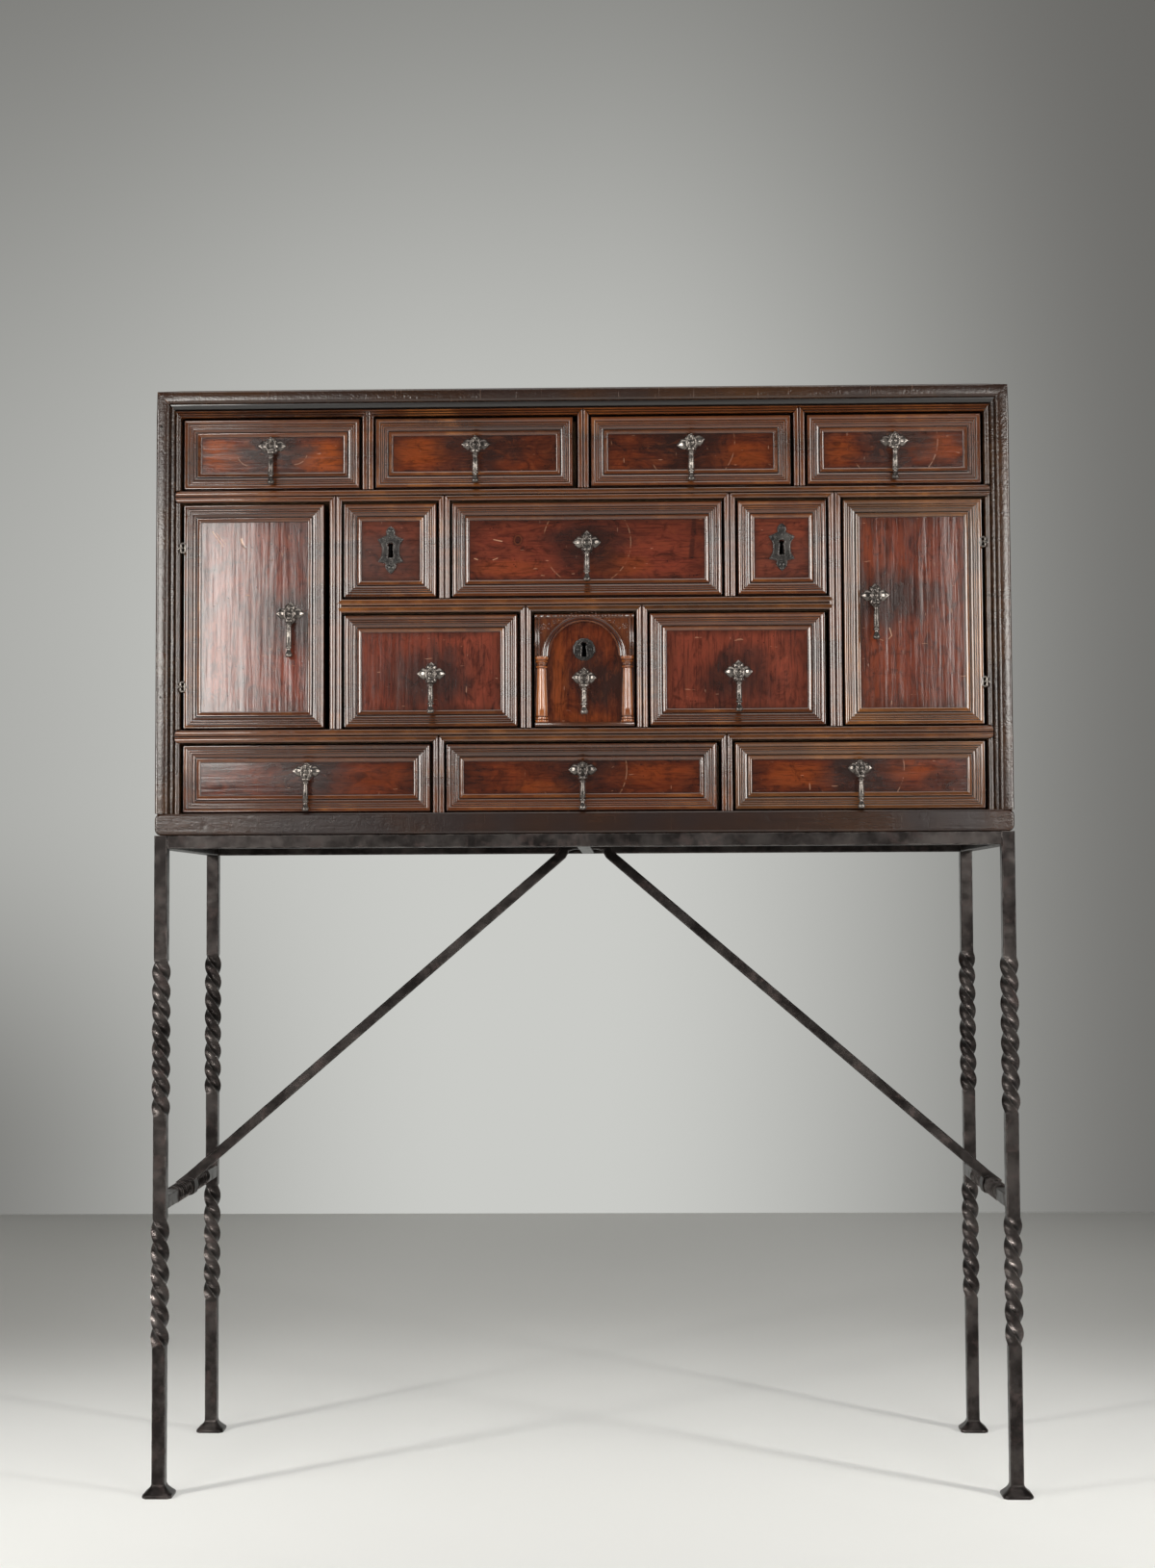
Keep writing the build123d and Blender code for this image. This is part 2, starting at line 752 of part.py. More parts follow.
def bays(x0, x1, centres, floor, ceiling):
    """The openings (x0, x1, floor, ceiling) between a row's dividers."""
    edges = [x0]
    for centre in centres:
        edges += [centre - divider_width / 2, centre + divider_width / 2]
    edges.append(x1)
    return [(edges[i], edges[i + 1], floor, ceiling) for i in range(0, len(edges), 2)]


tall_left_edge = left_tall_divider + tall_divider_width / 2
tall_right_edge = right_tall_divider - tall_divider_width / 2
top_bays = bays(inner_left, inner_right, top_row_dividers, top_row_floor, top_row_ceiling)
upper_bays = bays(tall_left_edge, tall_right_edge, upper_row_dividers, upper_row_floor, upper_row_ceiling)
lower_bays = bays(tall_left_edge, tall_right_edge, lower_row_dividers, lower_row_floor, lower_row_ceiling)
bottom_bays = bays(inner_left, inner_right, bottom_row_dividers, bottom_row_floor, bottom_row_ceiling)
left_door_edge = left_tall_divider - tall_divider_width / 2
right_door_edge = right_tall_divider + tall_divider_width / 2
left_door_bay = (inner_left, left_door_edge, lower_row_floor, upper_row_ceiling)
right_door_bay = (right_door_edge, inner_right, lower_row_floor, upper_row_ceiling)


# Case


def dovetails(side_x0, side_x1, z0, z1, wide_level):
    """The tails of one side board, through the thickness of the top or bottom board."""
    pitch = (back - boards_front) / dovetail_count
    narrow_level = z0 if wide_level == z1 else z1
    tails = []
    for index in range(dovetail_count):
        middle = boards_front + pitch * (index + 0.5)
        narrow = dovetail_narrow / 2
        wide = narrow + dovetail_flare
        plan = Polygon(
            (middle - narrow, narrow_level),
            (middle + narrow, narrow_level),
            (middle + wide, wide_level),
            (middle - wide, wide_level),
            align=None,
        )
        plane = Plane(origin=(side_x0, 0, 0), x_dir=(0, 1, 0), z_dir=(1, 0, 0))
        tails.append(prism(plane, plan, side_x1 - side_x0))
    return tails


def make_case():
    """The dovetailed boards, the back planks and the mouldings on the front edges."""
    top = block(case_left, case_right, boards_front, back, top_row_ceiling, case_top_level)
    bottom = block(case_left, case_right, boards_front, back, stand_height, bottom_row_floor)
    sides = []
    for side_x0, side_x1 in ((case_left, inner_left), (inner_right, case_right)):
        side = block(side_x0, side_x1, boards_front, back, bottom_row_floor, top_row_ceiling)
        upper_tails = dovetails(side_x0, side_x1, top_row_ceiling, case_top_level, case_top_level)
        lower_tails = dovetails(side_x0, side_x1, stand_height, bottom_row_floor, stand_height)
        sides.append(side + upper_tails + lower_tails)
        top -= upper_tails
        bottom -= lower_tails

    planks = []
    plank_height = (top_row_ceiling - bottom_row_floor) / back_plank_count
    for index in range(back_plank_count):
        foot = bottom_row_floor + index * plank_height
        planks.append(block(inner_left, inner_right, back_face, back, foot, foot + plank_height))

    mouldings = case_mouldings()
    hinge_loops = []
    for bay, hinge_side, board_index in ((left_door_bay, -1, 0), (right_door_bay, 1, 1)):
        for height in door_hinge_heights:
            level = bay[2] + height
            slot = case_shank(bay, hinge_side, level, staple_hole_gap)
            hinge_loops.append(case_loop(bay, hinge_side, level))
            sides[board_index] -= slot
            mouldings = [strip - slot for strip in mouldings]

    save("case_top", [top])
    save("case_bottom", [bottom])
    save("case_left_side", [sides[0]])
    save("case_right_side", [sides[1]])
    save("case_back", planks)
    save("case_mouldings", mouldings)
    save("hinge_loops", hinge_loops)


def case_mouldings():
    """The outer band, mitred at the top corners, the rounded bottom band and the inner moulding."""
    outer = edge_band_section(edge_band_width)
    side_inner = inner_moulding_section(side_board - edge_band_width)
    top_inner = inner_moulding_section(top_board - edge_band_width)
    band_left = case_left + edge_band_width
    band_right = case_right - edge_band_width
    band_top = case_top_level - edge_band_width
    foot = bottom_row_floor
    height = case_top_level - foot
    up, down, right, left = (0, 0, 1), (0, 0, -1), (1, 0, 0), (-1, 0, 0)

    left_band = run_strip(outer, (case_left, boards_front, case_top_level), down, right, height)
    right_band = run_strip(outer, (case_right, boards_front, foot), up, left, height)
    top_band = run_strip(outer, (case_right, boards_front, case_top_level), left, down, case_width)
    left_inner = run_strip(side_inner, (band_left, boards_front, band_top), down, right, band_top - foot)
    right_inner = run_strip(side_inner, (band_right, boards_front, foot), up, left, band_top - foot)
    top_inner = run_strip(
        top_inner, (band_right, boards_front, band_top), left, down, band_right - band_left
    )

    above = (0, case_top_level)
    left_outer = ((case_left, case_top_level), (band_left, band_top))
    right_outer = ((case_right, case_top_level), (band_right, band_top))
    left_inside = ((band_left, band_top), (inner_left, top_row_ceiling))
    right_inside = ((band_right, band_top), (inner_right, top_row_ceiling))
    pieces = [
        mitre(left_band, *left_outer, (case_left, foot)),
        mitre(right_band, *right_outer, (case_right, foot)),
        mitre(mitre(top_band, *left_outer, above), *right_outer, above),
        mitre(left_inner, *left_inside, (band_left, foot)),
        mitre(right_inner, *right_inside, (band_right, foot)),
        mitre(mitre(top_inner, *left_inside, (0, band_top)), *right_inside, (0, band_top)),
    ]
    bottom_band = block(case_left, case_right, front, boards_front, stand_height, foot)
    long_edges = bottom_band.faces().sort_by(Axis.Y)[0].edges().filter_by(Axis.X)
    bottom_band = fillet(long_edges, bottom_band_round)
    for end_x, side in ((case_left, -1), (case_right, 1)):
        bevel = Plane(origin=(end_x - side * bottom_band_bevel, front, 0), z_dir=(side, -1, 0))
        bottom_band = split(bottom_band, bisect_by=bevel, keep=Keep.BOTTOM)
    pieces.append(bottom_band)
    return [piece - notch_tool(strip_points("top")) for piece in pieces]


# Shelves and dividers, with reeded strips on their front edges


def pointed_strip(x, z0, z1, width, point_top):
    """An upright reeded strip. Its top end runs on in a point of 45 degrees where asked."""
    tip = width / 2 if point_top else 0
    strip = run_strip(
        reeded_section(width), (x + width / 2, boards_front, z0), (0, 0, 1), (-1, 0, 0), z1 + tip - z0
    )
    if not point_top:
        return strip
    strip = mitre(strip, (x - width / 2, z1), (x, z1 + tip), (x, z0))
    return mitre(strip, (x + width / 2, z1), (x, z1 + tip), (x, z0))


def strip_points(row):
    """The (x, ceiling, width) of each upright whose point runs into the piece above a row."""
    rows = {
        "top": [(x, top_row_ceiling, divider_width) for x in top_row_dividers],
        "upper": [(x, upper_row_ceiling, divider_width) for x in upper_row_dividers]
        + [(x, upper_row_ceiling, tall_divider_width) for x in (left_tall_divider, right_tall_divider)],
        "lower": [(x, lower_row_ceiling, divider_width) for x in lower_row_dividers],
        "bottom": [(x, bottom_row_ceiling, divider_width) for x in bottom_row_dividers],
    }
    return rows[row]


def notch_tool(points):
    """Wedges that cut the seats for uprights' points."""
    wedges = []
    for x, level, width in points:
        plan = Polygon((-width / 2, 0), (width / 2, 0), (0, width / 2), align=None)
        plane = Plane(origin=(x, boards_front, level), x_dir=(1, 0, 0), z_dir=(0, -1, 0))
        wedges.append(prism(plane, plan, edge_band_rise))
    return wedges


def make_shelves():
    """Three shelves: a board and a reeded strip each, with mortises for the lock bolts."""
    levels = [
        (inner_left, inner_right, bottom_row_ceiling, lower_row_floor, "bottom"),
        (tall_left_edge, tall_right_edge, lower_row_ceiling, upper_row_floor, "lower"),
        (inner_left, inner_right, upper_row_ceiling, top_row_floor, "upper"),
    ]
    mortises = [bolt_mortise(front_centre(*bay[:2]), bay[3]) for bay in (upper_bays[0], upper_bays[2])]
    mortises.append(bolt_mortise(front_centre(*lower_bays[1][:2]), lower_bays[1][3]))
    pieces = []
    for x0, x1, z0, z1, row in levels:
        housed = row == "lower"
        board_x0 = left_tall_divider + divider_board / 2 if housed else x0
        board_x1 = right_tall_divider - divider_board / 2 if housed else x1
        board = block(board_x0, board_x1, boards_front, back_face, z0, z1)
        pieces.append(board - mortises)
        thickness = z1 - z0
        tip = thickness / 2 if housed else 0
        strip = run_strip(
            reeded_section(thickness), (x0 - tip, boards_front, z0), (1, 0, 0), (0, 0, 1), x1 - x0 + 2 * tip
        )
        if housed:
            middle = (z0 + z1) / 2
            inside = (0, middle)
            strip = mitre(strip, (x0, z0), (x0 - tip, middle), inside)
            strip = mitre(strip, (x0, z1), (x0 - tip, middle), inside)
            strip = mitre(strip, (x1, z0), (x1 + tip, middle), inside)
            strip = mitre(strip, (x1, z1), (x1 + tip, middle), inside)
        pieces.append(strip - notch_tool(strip_points(row)))
    save("shelves", pieces)


def make_partitions():
    """Upright boards between the bays, each with a reeded strip that ends in a point."""
    rows = [
        (top_row_dividers, divider_width, top_row_floor, top_row_ceiling),
        (upper_row_dividers, divider_width, upper_row_floor, upper_row_ceiling),
        (lower_row_dividers, divider_width, lower_row_floor, lower_row_ceiling),
        (bottom_row_dividers, divider_width, bottom_row_floor, bottom_row_ceiling),
        ([left_tall_divider, right_tall_divider], tall_divider_width, lower_row_floor, upper_row_ceiling),
    ]
    half_shelf = middle_shelf / 2
    shelf_middle = lower_row_ceiling + half_shelf
    pieces = []
    for centres, width, floor, ceiling in rows:
        for x in centres:
            half_board = divider_board / 2
            pieces.append(block(x - half_board, x + half_board, boards_front, back_face, floor, ceiling))
            strip = pointed_strip(x, floor, ceiling, width, True)
            if width == tall_divider_width and centres == [left_tall_divider, right_tall_divider]:
                inward = 1 if x == left_tall_divider else -1
                edge = x + inward * width / 2
                plan = Polygon(
                    (edge, shelf_middle - half_shelf),
                    (edge, shelf_middle + half_shelf),
                    (edge - inward * half_shelf, shelf_middle),
                    align=None,
                )
                plane = Plane(origin=(0, boards_front, 0), x_dir=(1, 0, 0), z_dir=(0, -1, 0))
                strip -= prism(plane, plan, strip_thickness)
            pieces.append(strip)
    save("partitions", pieces)


# Stand


def twisted_bar(z0, z1, turns, width):
    """A square bar between two levels, with a number of left-handed turns, made of flat facets."""
    count = round(turns * twist_sections_per_turn)
    corner_radius = width / sqrt(2)
    rings = []
    for step in range(count + 1):
        share = step / count
        level = z0 + (z1 - z0) * share
        angles = [pi / 4 + corner * pi / 2 - 2 * pi * turns * share for corner in range(4)]
        rings.append([(corner_radius * cos(angle), corner_radius * sin(angle), level) for angle in angles])
    return faceted(rings, twisted=True)


def square_bar(z0, z1, width):
    """A plain square bar between two levels."""
    return block(-width / 2, width / 2, -width / 2, width / 2, z0, z1)


def foot_pad():
    """A splayed pad with clipped corners, drawn up to the leg."""
    half = bar / 2 + foot_overhang
    neck = bar / 2 + foot_neck_spare
    levels = [
        (half, foot_clip, 0),
        (half, foot_clip, foot_edge_height),
        (neck, foot_neck_clip, foot_height),
    ]
    return faceted([clipped_square(*level) for level in levels])


def clipped_square(half, clip, level):
    """The eight corners of a square with clipped corners, on a level."""
    near = half - clip
    right = [(half, -near), (half, near), (near, half), (-near, half)]
    left = [(-x, -y) for x, y in right]
    return [(x, y, level) for x, y in right + left]


def make_legs():
    """Four legs, each straight bar with two twisted lengths."""
    leg = foot_pad() + square_bar(foot_height, lower_twist_foot, bar)
    leg += twisted_bar(lower_twist_foot, lower_twist_top, lower_twist_turns, bar)
    leg += square_bar(lower_twist_top, upper_twist_foot, bar)
    leg += twisted_bar(upper_twist_foot, upper_twist_top, upper_twist_turns, bar)
    leg += square_bar(upper_twist_top, stand_height, bar)
    leg_x = case_width / 2 - bar / 2
    leg_y = case_depth / 2 - bar / 2
    places = [(-leg_x, -leg_y), (leg_x, -leg_y), (-leg_x, leg_y), (leg_x, leg_y)]
    save("stand_legs", [Pos(x, y, 0) * leg for x, y in places])


def make_top_frame():
    """The rectangle of bars under the case, and the bar across its middle."""
    foot = stand_height - bar
    reach_x = case_right - bar
    reach_y = back - bar
    half = cross_bar_width / 2
    save(
        "stand_top_frame",
        [
            block(-reach_x, reach_x, front, front + bar, foot, stand_height),
            block(-reach_x, reach_x, reach_y, back, foot, stand_height),
            block(case_left, case_left + bar, -reach_y, reach_y, foot, stand_height),
            block(reach_x, case_right, -reach_y, reach_y, foot, stand_height),
            block(-half, half, -reach_y, reach_y, foot, stand_height),
        ],
    )


def make_stretchers():
    """A bar between each side's legs, twisted on both sides of a plain middle."""
    reach = back - bar
    twisted = twisted_bar(stretcher_collar_half, stretcher_twist_reach, stretcher_turns, bar)
    half = twisted + square_bar(stretcher_twist_reach, reach, bar)
    stretcher = square_bar(-stretcher_collar_half, stretcher_collar_half, bar)
    stretcher += half
    stretcher += Rot(180, 0, 0) * half
    laid = Rot(90, 0, 0) * stretcher
    leg_x = case_width / 2 - bar / 2
    save("stand_stretchers", [Pos(x, 0, stretcher_height) * laid for x in (-leg_x, leg_x)])


def make_braces():
    """Two diagonals, from a saddle on each stretcher to the side of the cross bar."""
    leg_x = case_width / 2 - bar / 2
    seat = stretcher_height + bar / 2
    half = brace_bar / 2
    head = stand_height - brace_drop - half
    bend_x = cross_bar_width / 2 + brace_flat
    run = leg_x - bend_x
    rise = head - seat
    length = hypot(run, rise)
    shift = half * length / run
    slope = rise / run

    def on_edge(level, offset):
        """The x where the brace's upper or lower edge meets a level."""
        return bend_x + (head + offset * shift - level) / slope

    plan = Polygon(
        (on_edge(seat, -1), seat),
        (on_edge(seat, 1), seat),
        (on_edge(head + half, 1), head + half),
        (cross_bar_width / 2, head + half),
        (cross_bar_width / 2, head - half),
        (on_edge(head - half, -1), head - half),
        align=None,
    )
    plane = Plane(origin=(0, half, 0), x_dir=(1, 0, 0), z_dir=(0, -1, 0))
    brace = prism(plane, plan, brace_bar)
    half_bar = bar / 2
    cheek = half_bar + saddle_wall
    saddle = block(leg_x - cheek, leg_x + cheek, -half, half, stretcher_height - half_bar, seat + saddle_wall)
    saddle -= block(leg_x - half_bar, leg_x + half_bar, -half, half, stretcher_height - half_bar, seat)
    brace += saddle
    save("stand_braces", [brace, mirror(brace, about=Plane.YZ)])


def main():
    os.makedirs("parts", exist_ok=True)
    make_case()
    make_shelves()
    make_partitions()
    for index, bay in enumerate(top_bays):
        drawer_with_pull(f"top_drawer_{index + 1}", bay, top_row_pull_height)
    locked_drawer("small_drawer_left", upper_bays[0], small_lock_height)
    drawer_with_pull("long_drawer", upper_bays[1], upper_row_pull_height)
    locked_drawer("small_drawer_right", upper_bays[2], small_lock_height)
    drawer_with_pull("middle_drawer_left", lower_bays[0], lower_row_pull_height)
    arched_drawer(lower_bays[1])
    drawer_with_pull("middle_drawer_right", lower_bays[2], lower_row_pull_height)
    for index, bay in enumerate(bottom_bays):
        drawer_with_pull(f"bottom_drawer_{index + 1}", bay, bottom_row_pull_height)
    door("left_door", left_door_bay, -1, left_door_pull_inset, left_door_pull_height)
    door("right_door", right_door_bay, 1, right_door_pull_inset, right_door_pull_height)
    make_legs()
    make_top_frame()
    make_stretchers()
    make_braces()


main()
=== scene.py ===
"""A walnut cabinet of drawers on a wrought iron stand: its detailed pieces, finishes, lamps and camera.

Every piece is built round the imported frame, in metres. +Z is up and -Y is the front. Sizes named *_mm are
millimetres. Colours are written as screen values from 0 to 255.
"""

import json
from math import atan2, cos, hypot, pi, radians, sin, sqrt

import bmesh
import bpy
from bmesh.types import BMEdge, BMFace, BMVert
from mathutils import Matrix, Vector, noise


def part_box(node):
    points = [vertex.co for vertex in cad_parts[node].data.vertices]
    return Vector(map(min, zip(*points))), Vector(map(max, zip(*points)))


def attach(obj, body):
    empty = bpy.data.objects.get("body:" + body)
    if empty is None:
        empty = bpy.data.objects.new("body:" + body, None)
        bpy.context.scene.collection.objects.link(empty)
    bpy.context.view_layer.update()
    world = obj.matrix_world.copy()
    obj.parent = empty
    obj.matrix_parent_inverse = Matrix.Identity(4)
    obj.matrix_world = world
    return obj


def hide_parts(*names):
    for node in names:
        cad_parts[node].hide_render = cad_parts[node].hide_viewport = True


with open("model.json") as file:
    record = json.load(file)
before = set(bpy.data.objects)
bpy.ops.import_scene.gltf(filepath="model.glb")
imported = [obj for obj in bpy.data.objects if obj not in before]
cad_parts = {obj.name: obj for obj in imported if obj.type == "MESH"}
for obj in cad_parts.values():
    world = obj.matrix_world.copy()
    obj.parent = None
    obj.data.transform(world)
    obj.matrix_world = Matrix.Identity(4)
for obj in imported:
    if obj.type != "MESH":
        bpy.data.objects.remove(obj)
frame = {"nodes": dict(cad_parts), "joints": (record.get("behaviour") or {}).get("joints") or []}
noise.seed_set(7)  # So that hand-made edges wander alike in every run
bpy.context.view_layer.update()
scene = bpy.context.scene
MM = 0.001

# Levels and faces of the case, in metres
case_left, case_right = -0.520, 0.520
front_face = -0.186
boards_front = -0.172
boards_back = 0.172
panel_face = -0.173
front_inside = -0.159
moulding_width = 0.021
case_foot = 0.791
bottom_row_floor = 0.8175
top_row_ceiling = 1.303
case_top_level = 1.336
inner_edge = 0.490
shelf_low, shelf_low_top = 0.903, 0.920
shelf_middle, shelf_middle_top = 1.061, 1.079
shelf_high, shelf_high_top = 1.198, 1.2135
shelf_nose = 0.0072
band_width = 0.016
fine_gap = 0.0002

# Fittings, in metres
keyhole_level = 0.0295
keyhole_half_width, keyhole_half_height = 0.003, 0.0095
keyhole_scale = 1.55
arch_keyhole = shelf_low_top + 0.0955
arch_spring = shelf_low_top + 0.087
lock_plate = 0.0014
rosette_drop = 0.005
hinge_levels = (shelf_low_top + 0.052, shelf_low_top + 0.222)
hinge_axis_y = -0.185

# Stand, in metres
bar = 0.016
half_bar = bar / 2
leg_x = case_right - half_bar
leg_y = 0.186 - half_bar
stretcher_height = 0.348

small_drawers = ["small_drawer_left", "small_drawer_right"]
doors = ["left_door", "right_door"]
pendant_places = {
    joint["name"].replace("_pendant_swing", ""): Vector(joint["pos_m"])
    for joint in frame["joints"]
    if joint["name"].endswith("_pendant_swing")
}


# Shader maths


class Field:
    """A value or colour in a finish. Arithmetic on it adds Math nodes, or Vector Math nodes for a place."""

    def __init__(self, finish, socket):
        self.finish = finish
        self.socket = socket

    def calculate(self, operation, *terms):
        kind = "ShaderNodeVectorMath" if self.socket.type == "VECTOR" else "ShaderNodeMath"
        return self.finish.node(kind, {"operation": operation}, dict(enumerate(terms)))

    def __add__(self, other):
        return self.calculate("ADD", self, other)

    def __radd__(self, other):
        return self.calculate("ADD", other, self)

    def __sub__(self, other):
        return self.calculate("SUBTRACT", self, other)

    def __rsub__(self, other):
        return self.calculate("SUBTRACT", other, self)

    def __mul__(self, other):
        return self.calculate("MULTIPLY", self, other)

    def __rmul__(self, other):
        return self.calculate("MULTIPLY", other, self)

    def __pow__(self, other):
        return self.calculate("POWER", self, other)

    def __abs__(self):
        return self.calculate("ABSOLUTE", self)

    def largest(self, other):
        return self.calculate("MAXIMUM", self, other)

    def rising(self, low, high):
        """0 below low, 1 above high and a soft step between; low may be the larger, for a falling step."""
        if low > high:
            return 1.0 - self.rising(high, low)
        values = {"Value": self, "From Min": low, "From Max": high}
        return self.finish.node("ShaderNodeMapRange", {"interpolation_type": "SMOOTHSTEP"}, values)

    def toward(self, other, share):
        """This colour mixed with another by a share from 0 to 1."""
        return self.finish.blend(share, self, other)


class Finish:
    """A material made of nodes, and the few ways in which this script adds them."""

    def __init__(self, name):
        self.material = bpy.data.materials.new(name)
        self.material.use_nodes = True
        self.tree = self.material.node_tree
        self.tree.nodes.clear()
        self.place = self.node("ShaderNodeTexCoord", output="Object")

    def node(self, kind, settings=None, values=None, output=0):
        """Add a node: its settings first, then the values or links of its sockets, by name or number."""
        made = self.tree.nodes.new(kind)
        for key, value in (settings or {}).items():
            setattr(made, key, value)
        for key, value in (values or {}).items():
            if isinstance(value, Field):
                self.tree.links.new(value.socket, made.inputs[key])
            else:
                made.inputs[key].default_value = value
        return Field(self, made.outputs[output])

    def blend(self, share, first, second):
        """Mix two colours."""
        first, second = [tone(*part) if isinstance(part, tuple) else part for part in (first, second)]
        return self.node("ShaderNodeMix", {"data_type": "RGBA"}, {0: share, 6: first, 7: second}, output=2)

    def parts(self, place):
        """The x, y and z of a place."""
        return [self.node("ShaderNodeSeparateXYZ", None, {0: place}, output=axis) for axis in "XYZ"]

    def stretched(self, scale, shift=(0, 0, 0), turn=(0, 0, 0)):
        """The place on the piece, turned, scaled and shifted."""
        values = {"Vector": self.place, "Scale": scale, "Location": shift, "Rotation": turn}
        return self.node("ShaderNodeMapping", None, values)

    def shifted(self, *shift):
        """The place on the piece, shifted."""
        return self.stretched((1, 1, 1), shift)

    def cloudy(self, place, scale, detail=2.0, rough=0.5, bend=0.0):
        """Soft noise from about 0.2 to 0.8."""
        values = {"Vector": place, "Scale": scale, "Detail": detail, "Roughness": rough, "Distortion": bend}
        return self.node("ShaderNodeTexNoise", None, values)

    def cells(self, place, scale, feature="F1"):
        """The distance to scattered points."""
        settings = {"feature": feature}
        return self.node("ShaderNodeTexVoronoi", settings, {"Vector": place, "Scale": scale}, "Distance")

    def mark(self, name):
        """A number that the mesh carries at each corner."""
        return self.node("ShaderNodeAttribute", {"attribute_name": name}, output="Fac")

    def edges(self, radius):
        """1 at a sharp edge and 0 away from it."""
        rounded = self.node("ShaderNodeBevel", {"samples": 4}, {"Radius": radius})
        flat = self.node("ShaderNodeNewGeometry", output="Normal")
        settings = {"operation": "DOT_PRODUCT"}
        close = self.node("ShaderNodeVectorMath", settings, {0: rounded, 1: flat}, "Value")
        return (1.0 - close).rising(0.01, 0.16)

    def raised(self, height, distance, strength=1.0, under=None):
        """A bump from a height."""
        values = {"Height": height, "Distance": distance, "Strength": strength}
        if under is not None:
            values["Normal"] = under
        return self.node("ShaderNodeBump", None, values)

    def close(self, **sockets):
        """Join everything to the surface. Sockets are named with _ for a space."""
        values = {name.replace("_", " "): value for name, value in sockets.items()}
        return self.shown(self.node("ShaderNodeBsdfPrincipled", None, values))

    def mixed(self, share, first, second):
        """Mix two surfaces."""
        return self.node("ShaderNodeMixShader", None, {0: share, 1: first, 2: second})

    def shown(self, surface):
        """Use a surface as the material's own, and give the material."""
        output = self.tree.nodes.new("ShaderNodeOutputMaterial")
        self.tree.links.new(surface.socket, output.inputs["Surface"])
        return self.material


def apart(across, up):
    """How far off a place is, from its distances in two directions."""
    return (across * across + up * up) ** 0.5


def tone(red, green, blue):
    """A screen colour from 0 to 255, as the renderer's own linear colour."""
    values = []
    for part in (red, green, blue):
        share = part / 255
        values.append(share / 12.92 if share <= 0.04045 else ((share + 0.055) / 1.055) ** 2.4)
    return (*values, 1.0)


# Finishes


def grain_place(finish, along, seed):
    """A place stretched along the grain: 0 for x, 1 for y, 2 for z."""
    scale = [1.0] * 3
    scale[along] = 0.07
    return finish.stretched(tuple(scale), shift=(seed * 1.7, seed * 0.9, seed * 2.3))


def wood_figure(finish, along, seed):
    """The grain's streaks, its broad figure and its pores, each from 0 to 1."""
    place = grain_place(finish, along, seed)
    broad = finish.cloudy(place, 14.0, 3.0, 0.55, 1.4).rising(0.32, 0.68)
    streaks = finish.cloudy(place, 160.0, 4.0, 0.62, 0.6).rising(0.3, 0.7)
    pores = finish.cloudy(place, 900.0, 2.0, 0.5).rising(0.6, 0.72)
    return broad, streaks, pores


def moulding_walnut(name, along, seed, gold=0.0):
    """Dark polished moulding wood: crests paler from wear and a painted highlight, painted shade in the
    grooves.
    """
    finish = Finish(name)
    broad, streaks, pores = wood_figure(finish, along, seed)
    rub = finish.mark("rub")
    wear_and_highlight = finish.cloudy(finish.place, 34.0, 3.0, 0.6).rising(0.42, 0.66)
    warm = finish.cloudy(finish.shifted(seed, 2, 4), 5.5, 3.0, 0.6).rising(0.46, 0.68)
    colour = finish.blend(broad, (48, 23, 8), (88, 44, 17))
    colour = colour.toward((126, 82, 42), gold * (0.35 + warm * 0.65))
    colour = colour.toward((112, 60, 24), streaks * (0.12 + warm * 0.4))
    # Crests paler from wear and as a painted highlight.
    colour = colour.toward((150, 94, 46), rub.rising(0.7, 1.0) * wear_and_highlight * (0.12 + warm * 0.5))
    # Painted shade: where the value is low, in the grooves, on the beads' sides and at the outer edges, the
    # wood goes nearly black.
    colour = colour.toward((8, 5, 4), (1.0 - rub).rising(0.3, 0.8) * 0.97)
    colour = colour.toward((18, 11, 9), pores * 0.35)
    scuffs = finish.cloudy(finish.shifted(3, 1, 2), 200.0, 3.0, 0.7)
    rough = 0.05 + scuffs * 0.11 + (1.0 - rub) * 0.3
    dents = finish.cloudy(grain_place(finish, along, seed + 4.0), 60.0, 2.0, 0.6)
    height = streaks * 0.3 + scuffs * 0.3 - pores * 0.06 + dents * 0.9
    return finish.close(
        Base_Color=colour,
        Roughness=rough,
        Specular_IOR_Level=0.6,
        Coat_Weight=0.7,
        Coat_Roughness=0.06,
        Normal=finish.raised(height, 0.00016, 0.7),
    )


